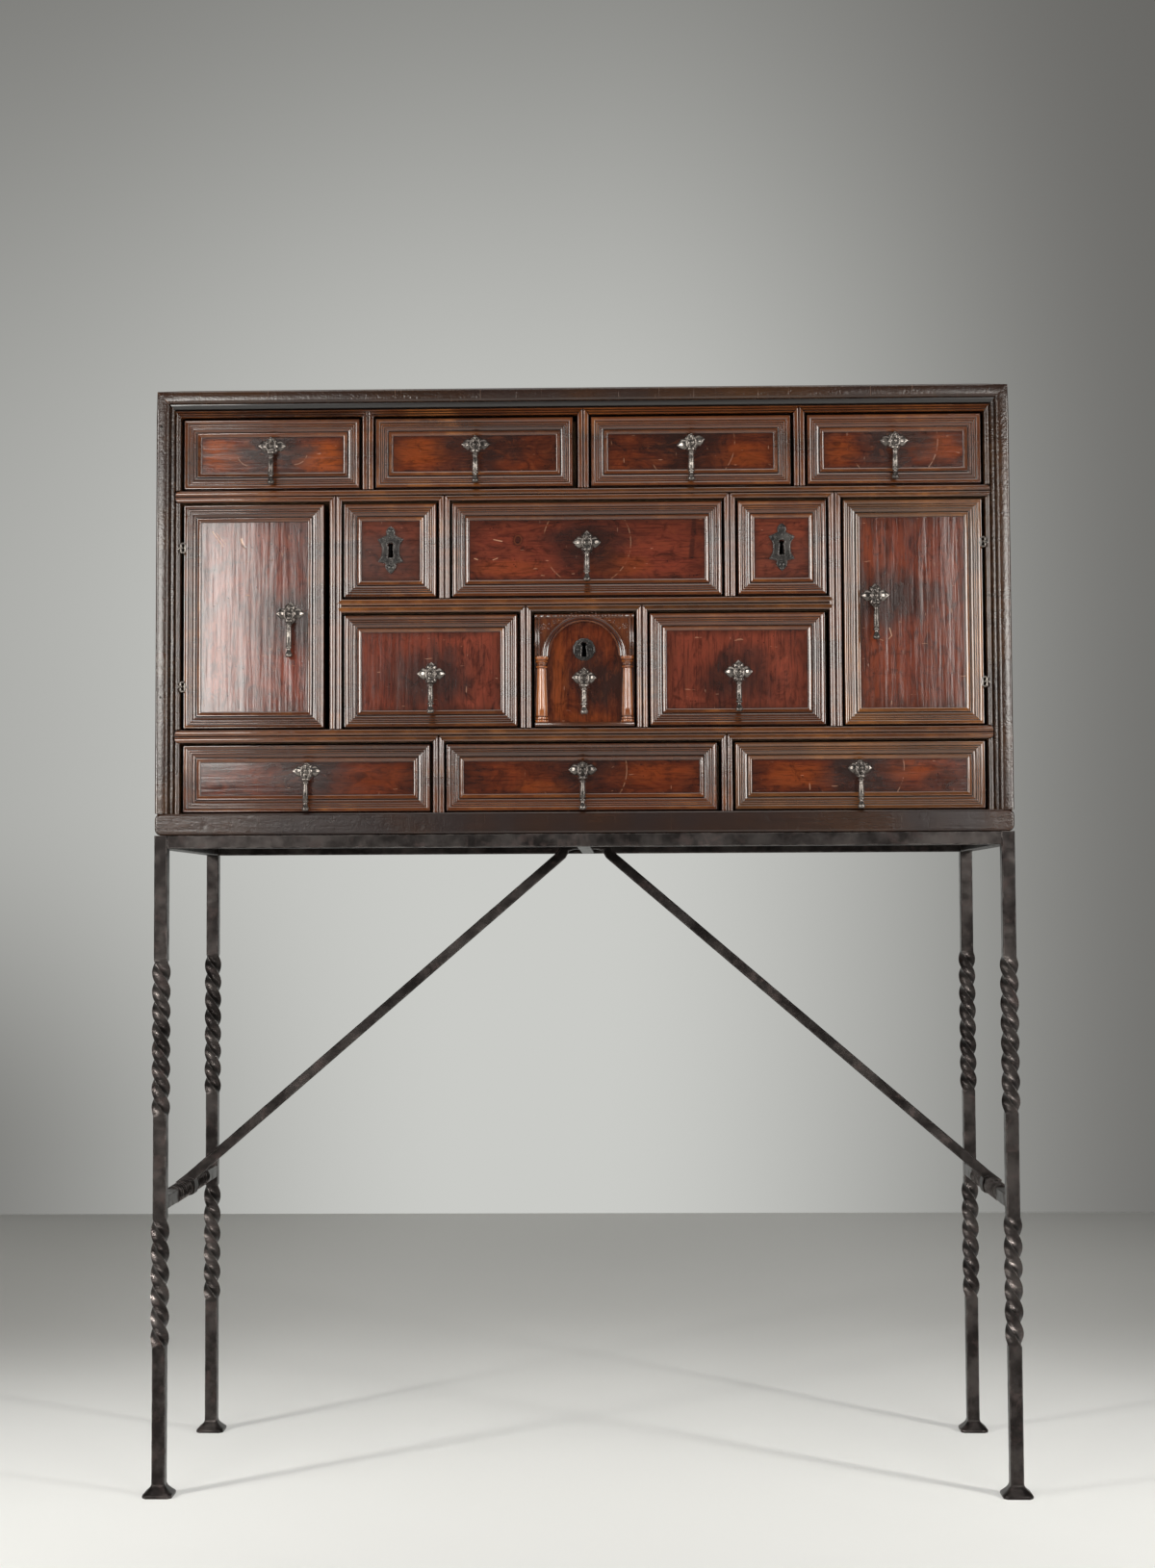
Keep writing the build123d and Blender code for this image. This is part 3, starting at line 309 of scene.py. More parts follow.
def case_walnut(name, along, seed, dusk=0.0, coat=0.4, pebble=0.0):
    """Old waxed board: darker in patches, scratched, pale with wear on its edges. pebble crazes its polish.
    """
    finish = Finish(name)
    broad, streaks, pores = wood_figure(finish, along, seed)
    patches = finish.cloudy(finish.place, 5.0, 3.0, 0.6).rising(0.35, 0.7)
    colour = finish.blend(broad, (46, 28, 14), (68, 43, 22))
    colour = colour.toward((90, 56, 36), streaks * (0.35 - pebble * 0.25))
    colour = colour.toward((34, 21, 18), patches * (0.55 + dusk / 2) + dusk)
    edge = finish.edges(0.0015)
    chips = finish.cloudy(finish.place, 130.0, 3.0, 0.6).rising(0.46, 0.6)
    colour = colour.toward((138, 100, 74), edge * chips * 0.6)
    colour = colour.toward((22, 14, 12), pores * 0.4)
    dents = finish.cells(finish.shifted(5, 2, 1), 26.0).rising(0.05, 0.16)
    scratch = finish.cloudy(finish.stretched((3.0, 1.0, 0.12), (1, 4, 2), (0.5, 0.3, 0.2)), 210.0, 1.0)
    scratch = scratch.rising(0.7, 0.76) * (1.0 - dusk * 1.8)
    colour = colour.toward((130, 96, 74), scratch * 0.4)
    crackle = finish.cells(finish.shifted(2, 6, 3), 240.0).rising(0.0, 0.5)
    rolling = finish.stretched((1, 1, 0.5 + pebble * 0.4), (4, 2, 7))
    waves = finish.cloudy(rolling, 46.0 + pebble * 40.0, 3.0, 0.6)
    rough = 0.2 - pebble * 0.06 + patches * 0.1 + scratch * 0.2
    pebbles = finish.cloudy(finish.shifted(6, 1, 4), 300.0, 3.0, 0.6)
    height = streaks * 0.2 - pores * 0.05 + dents * 0.4 - scratch * 0.3 + crackle * (0.2 + pebble * 0.5)
    height = height + pebbles * pebble * 1.6
    return finish.close(
        Base_Color=colour,
        Roughness=rough,
        Coat_Weight=coat,
        Coat_Roughness=0.16,
        Normal=finish.raised(height, 0.0003, 0.9, finish.raised(waves, 0.0004 + pebble * 0.0004, 0.8)),
    )


def bare_wood(name, along, seed):
    """Unpolished wood inside the case and the drawers."""
    finish = Finish(name)
    broad, streaks, pores = wood_figure(finish, along, seed)
    dust = finish.cloudy(finish.place, 16.0, 4.0, 0.65).rising(0.4, 0.7)
    colour = finish.blend(broad, (122, 92, 66), (148, 116, 84))
    colour = colour.toward((98, 70, 50), streaks * 0.5)
    colour = colour.toward((90, 72, 58), dust * 0.5)
    colour = colour.toward((170, 138, 102), finish.edges(0.001) * 0.4)
    colour = colour.toward((66, 46, 34), pores * 0.6)
    height = streaks * 0.6 - pores
    rough = 0.62 + dust * 0.2
    return finish.close(Base_Color=colour, Roughness=rough, Normal=finish.raised(height, 0.0003, 0.8))


handled_width, handled_height, handled_drop = 0.056, 0.040, 0.010


def panel_walnut(
    name, low, high, pull, seed, along=0, base=((78, 31, 15), (102, 42, 19)), glow=1.0, smoke=0.5,
    hand=0.82, wavy=0.4, embers=(), soot=(), arcs=(), scars=(), knots=(), sheen=0.45,
):
    """The panel of a front: glowing red-brown, smoky round its pull, darker toward its rim, with its own old
    marks.

    low and high are the panel's corners (x, z). pull is the (x, z) where hands have darkened it. Embers
    and soot are bright and dark patches: (across, up, half width, half height, strength), where across
    and up run from -1 to 1 over the panel. Each arc is (x, z, radius, first angle, last angle), each knot
    is (x, z, half width, half height), and each scar is (x0, z0, x1, z1, half width, depth).
    """
    finish = Finish(name)
    broad, streaks, pores = wood_figure(finish, along, seed)
    x, _, z = finish.parts(finish.place)
    across = (x - (low[0] + high[0]) / 2) * (2 / (high[0] - low[0]))
    upright = (z - (low[1] + high[1]) / 2) * (2 / (high[1] - low[1]))
    spread = (1, 1, 1.9) if along == 0 else (1.9, 1, 1)
    wander = finish.cloudy(finish.stretched(spread, (seed, 0, seed)), 17.0, 4.0, 0.6, 0.8)
    figure = finish.cloudy(finish.stretched(spread, (seed * 2, 3, seed)), 34.0, 5.0, 0.66, 1.8)

    def patch(u, v, half_u, half_v):
        away = apart((across - u) * (1 / half_u), (upright - v) * (1 / half_v))
        return (away + (wander - 0.5) * 1.7).rising(1.3, 0.55)

    rim = (abs(across).largest(abs(upright)) + (wander - 0.5) * 0.35).rising(0.78, 1.06)
    below_pull = z - pull[1] + handled_drop
    from_pull = apart((x - pull[0]) * (1 / handled_width), below_pull * (1 / handled_height))
    handled = (from_pull + (wander - 0.5) * 1.6).rising(1.35, 0.3)
    smoky = finish.cloudy(finish.stretched(spread, (seed * 3, 1, 2)), 11.0, 5.0, 0.62, 1.2)
    smoky = smoky.rising(0.42, 0.68)
    colour = finish.blend(broad, *base)
    colour = colour.toward((124, 60, 28), streaks * 0.36 * glow)
    colour = colour.toward((46, 24, 17), smoky * smoke)
    for u, v, half_u, half_v, strength in embers:
        colour = colour.toward((150, 72, 26), patch(u, v, half_u, half_v) * (0.3 + figure * 1.1) * strength)
    for u, v, half_u, half_v, strength in soot:
        colour = colour.toward((34, 20, 16), patch(u, v, half_u, half_v) * strength)
    colour = colour.toward((32, 20, 17), handled * hand)
    # Darker toward the panel's rim, beside the raised mouldings.
    colour = colour.toward((40, 23, 17), rim * 0.6)
    colour = colour.toward((36, 17, 11), figure.rising(0.47, 0.68) * 0.6)
    flecks = finish.cloudy(grain_place(finish, along, seed + 5.0), 420.0, 3.0, 0.6).rising(0.5, 0.66)
    colour = colour.toward((30, 15, 12), flecks * 0.45)
    colour = colour.toward((150, 80, 44), (1.0 - figure).rising(0.5, 0.68) * (1.0 - flecks) * 0.22 * glow)
    colour = colour.toward((24, 13, 11), pores * 0.4)
    for knot_x, knot_z, half_width, half_height in knots:
        knot = apart((x - knot_x) * (1 / half_width), (z - knot_z) * (1 / half_height))
        knot = knot + (wander - 0.5) * 0.9
        colour = colour.toward((36, 18, 14), knot.rising(1.2, 0.5) * 0.75)
        colour = colour.toward((110, 58, 34), knot.rising(0.75, 0.6) * knot.rising(0.4, 0.55) * 0.5)
    specks = finish.cells(finish.shifted(seed, 7, 3), 150.0).rising(0.16, 0.08)
    specks = specks * finish.cloudy(finish.place, 30.0).rising(0.54, 0.6)
    colour = colour.toward((22, 13, 11), specks * 0.75)
    pale = finish.cloudy(finish.stretched((0.5, 1.0, 2.5), (seed, 1, 9), (0, 0.5, 0)), 110.0, 2.0, 0.6)
    pale = pale.rising(0.69, 0.74)
    nicks = finish.cloudy(finish.stretched((2.2, 1.0, 0.35), (seed, 4, 2), (0, 0.35, 0)), 150.0, 1.0, 0.5)
    pale = pale.largest(nicks.rising(0.74, 0.78))
    broken = figure.rising(0.42, 0.56)
    for arc_x, arc_z, radius, first, last in arcs:
        gap_x = x - arc_x
        gap_z = z - arc_z
        ring = abs(apart(gap_x, gap_z) - radius).rising(0.0010, 0.0003)
        turn = finish.node("ShaderNodeMath", {"operation": "ARCTAN2"}, {0: gap_z, 1: gap_x})
        part = turn.rising(first - 0.05, first + 0.05) * turn.rising(last + 0.05, last - 0.05)
        pale = pale.largest(ring * part * broken * 0.7)
    colour = colour.toward((174, 124, 90), pale * 0.45)
    sunk = pale * 0.3
    for x0, z0, x1, z1, half, depth in scars:
        length = hypot(x1 - x0, z1 - z0)
        ux, uz = (x1 - x0) / length, (z1 - z0) / length
        onward = (x - x0) * ux + (z - z0) * uz
        aside = (x - x0) * uz - (z - z0) * ux
        beyond = (abs(onward - length / 2) - length / 2).largest(0.0)
        away = apart(aside, beyond) + (wander - 0.5) * half
        scar = away.rising(half * 1.4, half * 0.5)
        scar_tone = (28, 16, 13) if depth > 0 else (190, 146, 116)
        colour = colour.toward(scar_tone, scar * abs(depth))
        sunk = sunk + scar * 0.8
    smears = finish.cloudy(finish.shifted(seed, 3, 5), 60.0, 4.0, 0.7)
    rough = 0.07 + smears * 0.12 + handled * 0.06 + pale * 0.2 + streaks * 0.04
    ripple = finish.cloudy(grain_place(finish, along, seed + 2.0), 34.0, 3.0, 0.6)
    height = streaks * 0.2 - pores * 0.05 + smears * 0.12 - sunk * 0.6 + figure * 0.14
    grooves = finish.cloudy(grain_place(finish, along, seed + 3.0), 120.0, 3.0, 0.6)
    waves = finish.raised(ripple + grooves * 0.22, 0.0018 * wavy, 0.5)
    return finish.close(
        Base_Color=colour,
        Roughness=rough,
        Specular_IOR_Level=sheen,
        Coat_Weight=0.3,
        Coat_Roughness=0.06,
        Normal=finish.raised(height, 0.0002, 0.8, waves),
    )


def gilded_walnut(name, ruddy, seed):
    """Warm polished wood of the little arch and its columns, crests paler from wear and a painted highlight,
    painted shade in grooves.
    """
    finish = Finish(name)
    broad, streaks, pores = wood_figure(finish, 2, seed)
    rub = finish.mark("rub")
    colour = finish.blend(broad, (112, 56, 30), (152, 84, 42))
    colour = colour.toward((64, 27, 19), ruddy * 0.9)
    # Crests paler from wear and as a painted highlight.
    colour = colour.toward((192, 120, 60), streaks * rub * (0.5 - ruddy * 0.3))
    # Painted shade in the grooves.
    colour = colour.toward((24, 13, 11), (1.0 - rub).rising(0.4, 1.0) * 0.85)
    colour = colour.toward((40, 24, 18), pores * 0.4)
    grime = finish.cloudy(finish.place, 90.0, 4.0, 0.65).rising(0.55, 0.75)
    colour = colour.toward((38, 24, 20), grime * 0.5)
    height = streaks * 0.3 - pores * 0.05 + grime * 0.3
    return finish.close(
        Base_Color=colour,
        Roughness=0.12 + grime * 0.25,
        Coat_Weight=0.8,
        Coat_Roughness=0.12,
        Normal=finish.raised(height, 0.0002, 0.8),
    )


def iron(name, low, high, rust, hammer, shine, seed, depth=0.0006, grit=0.2):
    """Old iron: forge scale, a hint of rust, hammer marks, and edges pale from wear and a painted highlight.
    """
    finish = Finish(name)
    place = finish.shifted(seed, seed * 2, 1)
    broad = finish.cloudy(place, 24.0, 4.0, 0.6).rising(0.35, 0.68)
    fine = finish.cloudy(place, 320.0, 4.0, 0.65)
    rusty = finish.cloudy(place, 62.0, 5.0, 0.68, 0.5).rising(0.5, 0.72)
    colour = finish.blend(broad, low, high)
    colour = colour.toward(rust, rusty * 0.6)
    edge = finish.edges(0.0011)
    wear_and_highlight = finish.cloudy(place, 90.0, 2.0).rising(0.4, 0.58)
    # Edges pale from wear and as a painted highlight on the ridges.
    colour = colour.toward((150, 143, 140), edge * wear_and_highlight * 0.8)
    dimple = finish.cells(place, hammer).rising(0.0, 0.55)
    height = dimple * 0.7 + fine * grit + rusty * grit
    metal = 0.85 - rusty * 0.45
    rough = shine + fine * 0.16 + rusty * 0.2 - edge * wear_and_highlight * 0.06
    return finish.close(
        Base_Color=colour,
        Metallic=metal,
        Roughness=rough,
        Normal=finish.raised(height, depth, 0.7),
    )


case_x = case_walnut("case_walnut_lengthways", 0, 1.0)
case_z = case_walnut("case_walnut_upright", 2, 2.0)
inner_x = bare_wood("inner_wood_across", 0, 3.0)
inner_y = bare_wood("inner_wood_deep", 1, 4.0)
moulding_x = moulding_walnut("moulding_walnut_across", 0, 5.0)
moulding_z = moulding_walnut("moulding_walnut_upright", 2, 6.0)
golden_x = moulding_walnut("golden_walnut_across", 0, 7.0, 0.75)
golden_z = moulding_walnut("golden_walnut_upright", 2, 8.0, 0.6)
shelf_x = moulding_walnut("shelf_walnut", 0, 10.0, 0.3)
band_x = case_walnut("band_walnut_across", 0, 11.0, 0.2, 0.4, 0.5)
band_z = case_walnut("band_walnut_upright", 2, 12.0, 0.0, 1.0, 1.0)
base_x = case_walnut("base_walnut", 0, 13.0, 0.5, 0.2)
gilded_left = gilded_walnut("gilded_walnut_left", 0.0, 7.0)
gilded_right = gilded_walnut("gilded_walnut_right", 0.45, 8.0)
spandrel_wood = gilded_walnut("spandrel_walnut", 1.0, 9.0)
stand_iron = iron("stand_iron", (34, 30, 29), (72, 67, 65), (52, 33, 29), 55.0, 0.26, 1.0, 0.0003, 0.05)
foot_iron = iron("foot_iron", (104, 95, 84), (140, 131, 118), (86, 66, 48), 80.0, 0.4, 2.0)
pull_iron = iron("pull_iron", (92, 86, 82), (138, 131, 125), (72, 60, 52), 190.0, 0.12, 3.0, 0.00007, 0.1)
plate_iron = iron("plate_iron", (56, 54, 53), (88, 86, 83), (58, 49, 44), 150.0, 0.2, 4.0, 0.0002)


# Shapes


def fresh():
    """An empty mesh whose corners carry rub: 0 in a groove, for painted shade, to 1 on a crest, for wear and
    a painted highlight.
    """
    bm = bmesh.new()
    bm.verts.layers.float.new("rub")
    bm.verts.layers.int.new("placed")
    return bm


def of_kind(made, kind):
    """The corners, edges or faces among what an operator has made."""
    return [item for item in made["geom"] if isinstance(item, kind)]


def unplaced(bm):
    """The corners that no shape has claimed yet."""
    placed = bm.verts.layers.int["placed"]
    return [vert for vert in bm.verts if vert[placed] == 0]


def claimed(bm, paint=0, outwards=True):
    """Claim the corners that are new, give their faces a paint, and turn the faces outwards."""
    placed = bm.verts.layers.int["placed"]
    new = unplaced(bm)
    faces = list({face for vert in new for face in vert.link_faces})
    for face in faces:
        face.material_index = paint
    if outwards:
        bmesh.ops.recalc_face_normals(bm, faces=faces)
    for vert in new:
        vert[placed] = 1
    return new


def swept(bm, profile, cuts, place, closed=False, paint=0):
    """Carry a closed section along a way. profile holds (a, b, rub); place(a, b, share) gives each point."""
    rub = bm.verts.layers.float["rub"]
    corners = []
    for a, b, rub_and_light_share in profile:
        corner = bm.verts.new((a, b, 0))
        corner[rub] = rub_and_light_share
        corners.append(corner)
    start_cap = bm.faces.new(corners)
    made = bmesh.ops.extrude_face_region(bm, geom=[start_cap], use_keep_orig=True)
    bmesh.ops.translate(bm, verts=of_kind(made, BMVert), vec=(0, 0, 1))
    if closed:
        bmesh.ops.delete(bm, geom=[start_cap, of_kind(made, BMFace)[0]], context="FACES_ONLY")
    edges = {edge for vert in unplaced(bm) for edge in vert.link_edges}
    long_edges = [edge for edge in edges if abs(edge.verts[0].co.z - edge.verts[1].co.z) > 0.5]
    bmesh.ops.subdivide_edges(bm, edges=long_edges, cuts=cuts, use_grid_fill=True)
    for vert in unplaced(bm):
        vert.co = place(vert.co.x, vert.co.y, vert.co.z)
    if closed:
        bmesh.ops.remove_doubles(bm, verts=unplaced(bm), dist=1e-7)
    return claimed(bm, paint)


def sheet(bm, columns, rows, place, drop, paint=0):
    """A grid laid out by place(across, up), both from 0 to 1, which gives a point and its rub and painted
    light.
    Its rim drops and is closed underneath, so that it is solid."""
    rub = bm.verts.layers.float["rub"]
    made = bmesh.ops.create_grid(bm, x_segments=columns, y_segments=rows, size=0.5)
    for vert in made["verts"]:
        point, rub_and_light_share = place(vert.co.x + 0.5, vert.co.y + 0.5)
        vert.co = point
        vert[rub] = rub_and_light_share
    rim = [edge for edge in {edge for vert in unplaced(bm) for edge in vert.link_edges} if edge.is_boundary]
    made = bmesh.ops.extrude_edge_only(bm, edges=rim)
    bmesh.ops.translate(bm, verts=of_kind(made, BMVert), vec=drop)
    lower = [edge for edge in of_kind(made, BMEdge) if edge.is_boundary]
    bmesh.ops.contextual_create(bm, geom=lower)
    return claimed(bm, paint)


def turned(bm, profile, centre, axis=(0, 0, 1), steps=24, angle=2 * pi, start=(1, 0, 0), paint=0):
    """Spin a profile of (radius, level, rub) round an axis through a centre."""
    rub = bm.verts.layers.float["rub"]
    centre, axis, start = Vector(centre), Vector(axis), Vector(start)
    chain = []
    for radius, level, rub_and_light_share in profile:
        vert = bm.verts.new(centre + start * radius + axis * level)
        vert[rub] = rub_and_light_share
        chain.append(vert)
    edges = [bm.edges.new(pair) for pair in zip(chain, chain[1:])]
    whole = angle > 6.28
    bmesh.ops.spin(bm, geom=chain + edges, cent=centre, axis=axis, angle=angle, steps=steps, use_merge=whole)
    bmesh.ops.remove_doubles(bm, verts=unplaced(bm), dist=1e-6)
    return claimed(bm, paint)


def block(bm, low, high):
    """A box between two corners, as the corners of its mesh."""
    low, high = Vector(low), Vector(high)
    place = Matrix.Translation((low + high) / 2) @ Matrix.Diagonal((*(high - low), 1))
    return bmesh.ops.create_cube(bm, size=1, matrix=place)["verts"]


def rounded(bm, edges, width, segments, fitted=True):
    """Round some edges. A fitted rounding stops where it would meet another."""
    bmesh.ops.bevel(
        bm, geom=edges, offset=width, affect="EDGES", segments=segments, profile=0.5, material=-1,
        clamp_overlap=fitted,
    )


def plank(bm, low, high, edge=0.0008):
    """A board between two corners, its edges eased."""
    rub = bm.verts.layers.float["rub"]
    corners = block(bm, low, high)
    for vert in corners:
        vert[rub] = 0.6
    rounded(bm, list({item for vert in corners for item in vert.link_edges}), edge, 2, fitted=False)
    return claimed(bm)


def cad_copy(node, keep=None):
    """A node's own mesh with its loose triangles merged. keep(face) chooses which faces stay."""
    bm = fresh()
    bm.from_mesh(frame["nodes"][node].data)
    if keep:
        lost = [face for face in bm.faces if not keep(face)]
        bmesh.ops.delete(bm, geom=lost, context="FACES")
    bmesh.ops.remove_doubles(bm, verts=bm.verts, dist=2e-6)
    bmesh.ops.dissolve_limit(bm, angle_limit=radians(0.5), verts=bm.verts, edges=bm.edges)
    claimed(bm, outwards=False)
    return bm


def eased(bm, width, segments=2):
    """Round a mesh's sharp edges."""
    sharp = [edge for edge in bm.edges if edge.is_manifold and edge.calc_face_angle(0) > radians(30)]
    rounded(bm, sharp, width, segments)
    claimed(bm, outwards=False)
    return bm


def linked(name, data):
    """An object for a mesh, a lamp or a camera, put in the scene."""
    made = bpy.data.objects.new(name, data)
    scene.collection.objects.link(made)
    return made


broad_face = 0.004


def finished(name, body, bm, materials, stands_for=(), sharp=38):
    """Make a piece of a mesh: its finishes, its body and the nodes it stands for."""
    mesh = bpy.data.meshes.new(name)
    bm.verts.layers.int.remove(bm.verts.layers.int["placed"])
    smooth = [2 * face.calc_area() / face.calc_perimeter() < broad_face for face in bm.faces]
    bm.to_mesh(mesh)
    bm.free()
    carried = mesh.attributes.get("custom_normal")
    if carried:
        mesh.attributes.remove(carried)
    mesh.materials.clear()
    for material in materials:
        mesh.materials.append(material)
    mesh.set_sharp_from_angle(angle=radians(sharp))
    mesh.polygons.foreach_set("use_smooth", smooth)
    piece = linked(name, mesh)
    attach(piece, body)
    if stands_for:
        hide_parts(*stands_for)
    return piece


def unevenness(point, seed, size, pitch=25.0):
    """A small wander for hand-made edges."""
    return noise.noise_vector(point * pitch + Vector((seed * 7.3, seed * 3.1, seed))) * size


def bead(start, end, base, crest, steps=6, fall=0.0):
    """A rounded bead between two places across a moulding, as (across, rise, rub), falling to its end."""
    middle, half = (start + end) / 2, (end - start) / 2
    points = []
    for step in range(steps + 1):
        angle = pi * step / steps
        slope = fall * (0.5 + 0.5 * cos(angle))
        rise = base + slope + (crest - base) * sin(angle)
        # Low values on the bead's sides give painted shade there; high values on its crest give wear and a
        # painted highlight.
        points.append((middle - half * cos(angle), rise, 0.3 + 0.7 * sin(angle)))
    return points


def in_metres(profile):
    """A profile drawn in millimetres, in metres."""
    return [(across * MM, rise * MM, rub) for across, rise, rub in profile]


def front_profile():
    """The moulding of a front: a broad outer bead, two fine beads, a cove and a broad inner bead."""
    # Painted shadow: the outer edge's low values turn it nearly black, like the shadow in the gap round the
    # front.
    points = [(0.0, 0.0, 0.0), (0.0, 4.6, 0.0), (0.35, 5.4, 0.1)]
    points += bead(0.5, 5.4, 4.9, 5.6, 8, 1.4)
    points += [(5.6, 4.2, 0.0)]
    points += bead(5.8, 8.0, 4.2, 4.7, 5, 0.6)
    points += [(8.2, 3.7, 0.0)]
    points += bead(8.4, 10.2, 3.6, 4.1, 5, 0.5)
    points += [(10.2, 3.4, 0.0), (10.8, 3.4, 0.5), (12.6, 2.7, 0.6), (14.2, 1.9, 0.5), (15.2, 1.2, 0.2)]
    points += [(15.4, 0.9, 0.0)]
    points += bead(15.6, 20.8, 0.8, 1.4, 8, 1.6)
    points += [(21.0, 0.0, 0.0)]
    return in_metres(points)


def strip_profile(width, rise=8.0, groove=1.9):
    """Two beads side by side, for a divider or a shelf edge, in metres."""
    width_mm = width / MM
    half = width_mm / 2
    base = rise - groove
    # Painted shadow: the low values at both edges turn them nearly black, like the shadow in the gaps beside
    # the strip.
    points = [(0.3, 0.0, 0.0), (0.3, base - 1.0, 0.0), (0.6, base - 0.4, 0.05)]
    points += bead(0.7, half - 0.35, base, rise, 7)
    points += [(half, base - 0.8, 0.0)]
    points += bead(half + 0.35, width_mm - 0.7, base, rise, 7)
    points += [(width_mm - 0.6, base - 0.4, 0.05), (width_mm - 0.3, base - 1.0, 0.0)]
    points += [(width_mm - 0.3, 0.0, 0.0)]
    return in_metres(points)


def side_band_profile():
    """The broad band on the case's front edges, nearly flat with soft corners."""
    points = [(0.0, 0.0, 0.0), (0.0, 10.8, 0.6)]
    points += [(0.5, 12.5, 1.0), (1.8, 13.6, 1.0), (4.0, 14.0, 0.8), (8.0, 14.0, 0.6), (12.0, 13.9, 0.7)]
    points += [(14.3, 13.5, 0.9), (15.5, 12.2, 0.7), (16.0, 10.4, 0.2), (16.0, 0.0, 0.0)]
    return in_metres(points)


def side_flat_profile():
    """Inside the side bands: a flat strip that ends in a groove."""
    points = [(0.0, 0.0, 0.0), (0.0, 6.0, 0.0), (0.8, 6.6, 0.4), (3.0, 6.8, 0.7)]
    points += [(5.2, 6.6, 0.5), (6.2, 4.8, 0.0), (6.2, 0.0, 0.0)]
    return in_metres(points)


def side_bead_profile():
    """The bead beside the openings."""
    points = [(6.1, 0.0, 0.0)]
    points += bead(6.3, 13.9, 4.8, 9.0, 10)
    points += [(14.0, 0.0, 0.0)]
    return in_metres(points)


def top_inner_profile():
    """Under the top band: a cove darkened with painted shade, then three fine beads."""
    points = [(0.0, 0.0, 0.0)]
    for step in range(7):
        angle = pi / 2 * step / 6
        points.append((0.4 + 6.8 * sin(angle), 8.4 - 5.4 * (1 - cos(angle)), 0.25 - 0.03 * step))
    points += bead(7.6, 10.6, 5.4, 7.4, 5)
    points += [(10.8, 5.2, 0.0)]
    points += bead(11.0, 13.8, 5.6, 8.2, 5)
    points += [(14.0, 5.6, 0.0)]
    points += bead(14.2, 16.9, 6.0, 9.0, 5)
    points += [(17.0, 0.0, 0.0)]
    return in_metres(points)


moulding_wander = 0.00016


def run_of(
    bm, profile, start, end, inward, back_face=boards_front, lean=(0, 0), tip=(0, 0), seed=0.0, paint=0,
    nose=0.0,
):
    """A moulding from start to end, both (x, z).

    lean is how far each end is cut back for each metre across, as a mitre does. tip is the width of a
    point of 45 degrees that an end runs out to. nose rounds both ends. back_face is the y of its back.
    """
    middle = profile[-1][0] / 2
    start, end = Vector((start[0], 0, start[1])), Vector((end[0], 0, end[1]))
    inward = Vector((inward[0], 0, inward[1]))
    length = (end - start).length
    along = (end - start) / length

    def pointed(across, width):
        return width / 2 - abs(across - width / 2) if width else 0.0

    def place(across, rise, share):
        first = lean[0] * across - pointed(across, tip[0])
        last = length - lean[1] * across + pointed(across, tip[1])
        if nose:
            back = nose * (1 - sqrt(max(0.0, 1 - ((across - middle) / middle) ** 2)))
            first, last = first + back, last - back
        distance = first + (last - first) * share
        point = start + along * distance + inward * across
        point.y = back_face - rise
        if 0.0 < share < 1.0 or not (lean[0] or lean[1]):
            shift = unevenness(point, seed, moulding_wander)
            point.x += shift.x
            point.z += shift.z
            if rise > 0.002:
                point.y += abs(shift.y) * 0.8
            point.x = min(max(point.x, case_left), case_right)
            point.z = min(point.z, case_top_level)
        return point

    cuts = max(3, int(length / 0.03))
    return swept(bm, profile, cuts, place, paint=paint)


def mitred(bm, x0, x1, z0, z1, seed):
    """Four mouldings round a front, mitred at its corners: across in paint 0, upright in paint 1."""
    runs = [
        ((x0, z0), (x1, z0), (0, 1), 0),
        ((x1, z0), (x1, z1), (-1, 0), 1),
        ((x1, z1), (x0, z1), (0, -1), 0),
        ((x0, z1), (x0, z0), (1, 0), 1),
    ]
    profile, lean = front_profile(), (1, 1)
    for index, (start, end, inward, paint) in enumerate(runs):
        run_of(bm, profile, start, end, inward, panel_face, lean, seed=seed + index, paint=paint)


seat_spare = 0.0016


def notched(bm, x, level, width):
    """Cut the seat for an upright's point out of the piece above it, a little wider than the point."""
    width = width + seat_spare
    reach = 0.03
    for side in (-1, 1):
        near = []
        for face in bm.faces:
            reaches = [vert.co.x for vert in face.verts]
            if min(reaches) < x + reach and max(reaches) > x - reach:
                near.append(face)
        parts = near + list({edge for face in near for edge in face.edges})
        parts += list({vert for face in near for vert in face.verts})
        top = (x, 0, level + width / 2)
        bmesh.ops.bisect_plane(bm, geom=parts, dist=1e-6, plane_co=top, plane_no=(side, 0, 1))
    inside = []
    for face in bm.faces:
        middle = face.calc_center_median()
        if middle.z > level and abs(middle.x - x) < level + width / 2 - middle.z:
            inside.append(face)
    bmesh.ops.delete(bm, geom=inside, context="FACES")
    rim = [edge for edge in bm.edges if edge.is_boundary]
    bmesh.ops.holes_fill(bm, edges=rim, sides=0)


# Square bars and wires


def square_section(clip):
    """A square of half width 1 with clipped corners, as (a, b, rub)."""
    near = 1 - clip
    quarter = [(1, -near, 0.9), (1, -near / 2, 0.6), (1, 0, 0.5), (1, near / 2, 0.6), (1, near, 0.9)]
    points = []
    for turn in range(4):
        for a, b, rub in quarter:
            for _ in range(turn):
                a, b = -b, a
            points.append((a, b, rub))
    return points


def circle(steps):
    """The (across, up) of even steps round a circle of radius 1."""
    angles = [2 * pi * step / steps for step in range(steps)]
    return [(cos(angle), sin(angle)) for angle in angles]


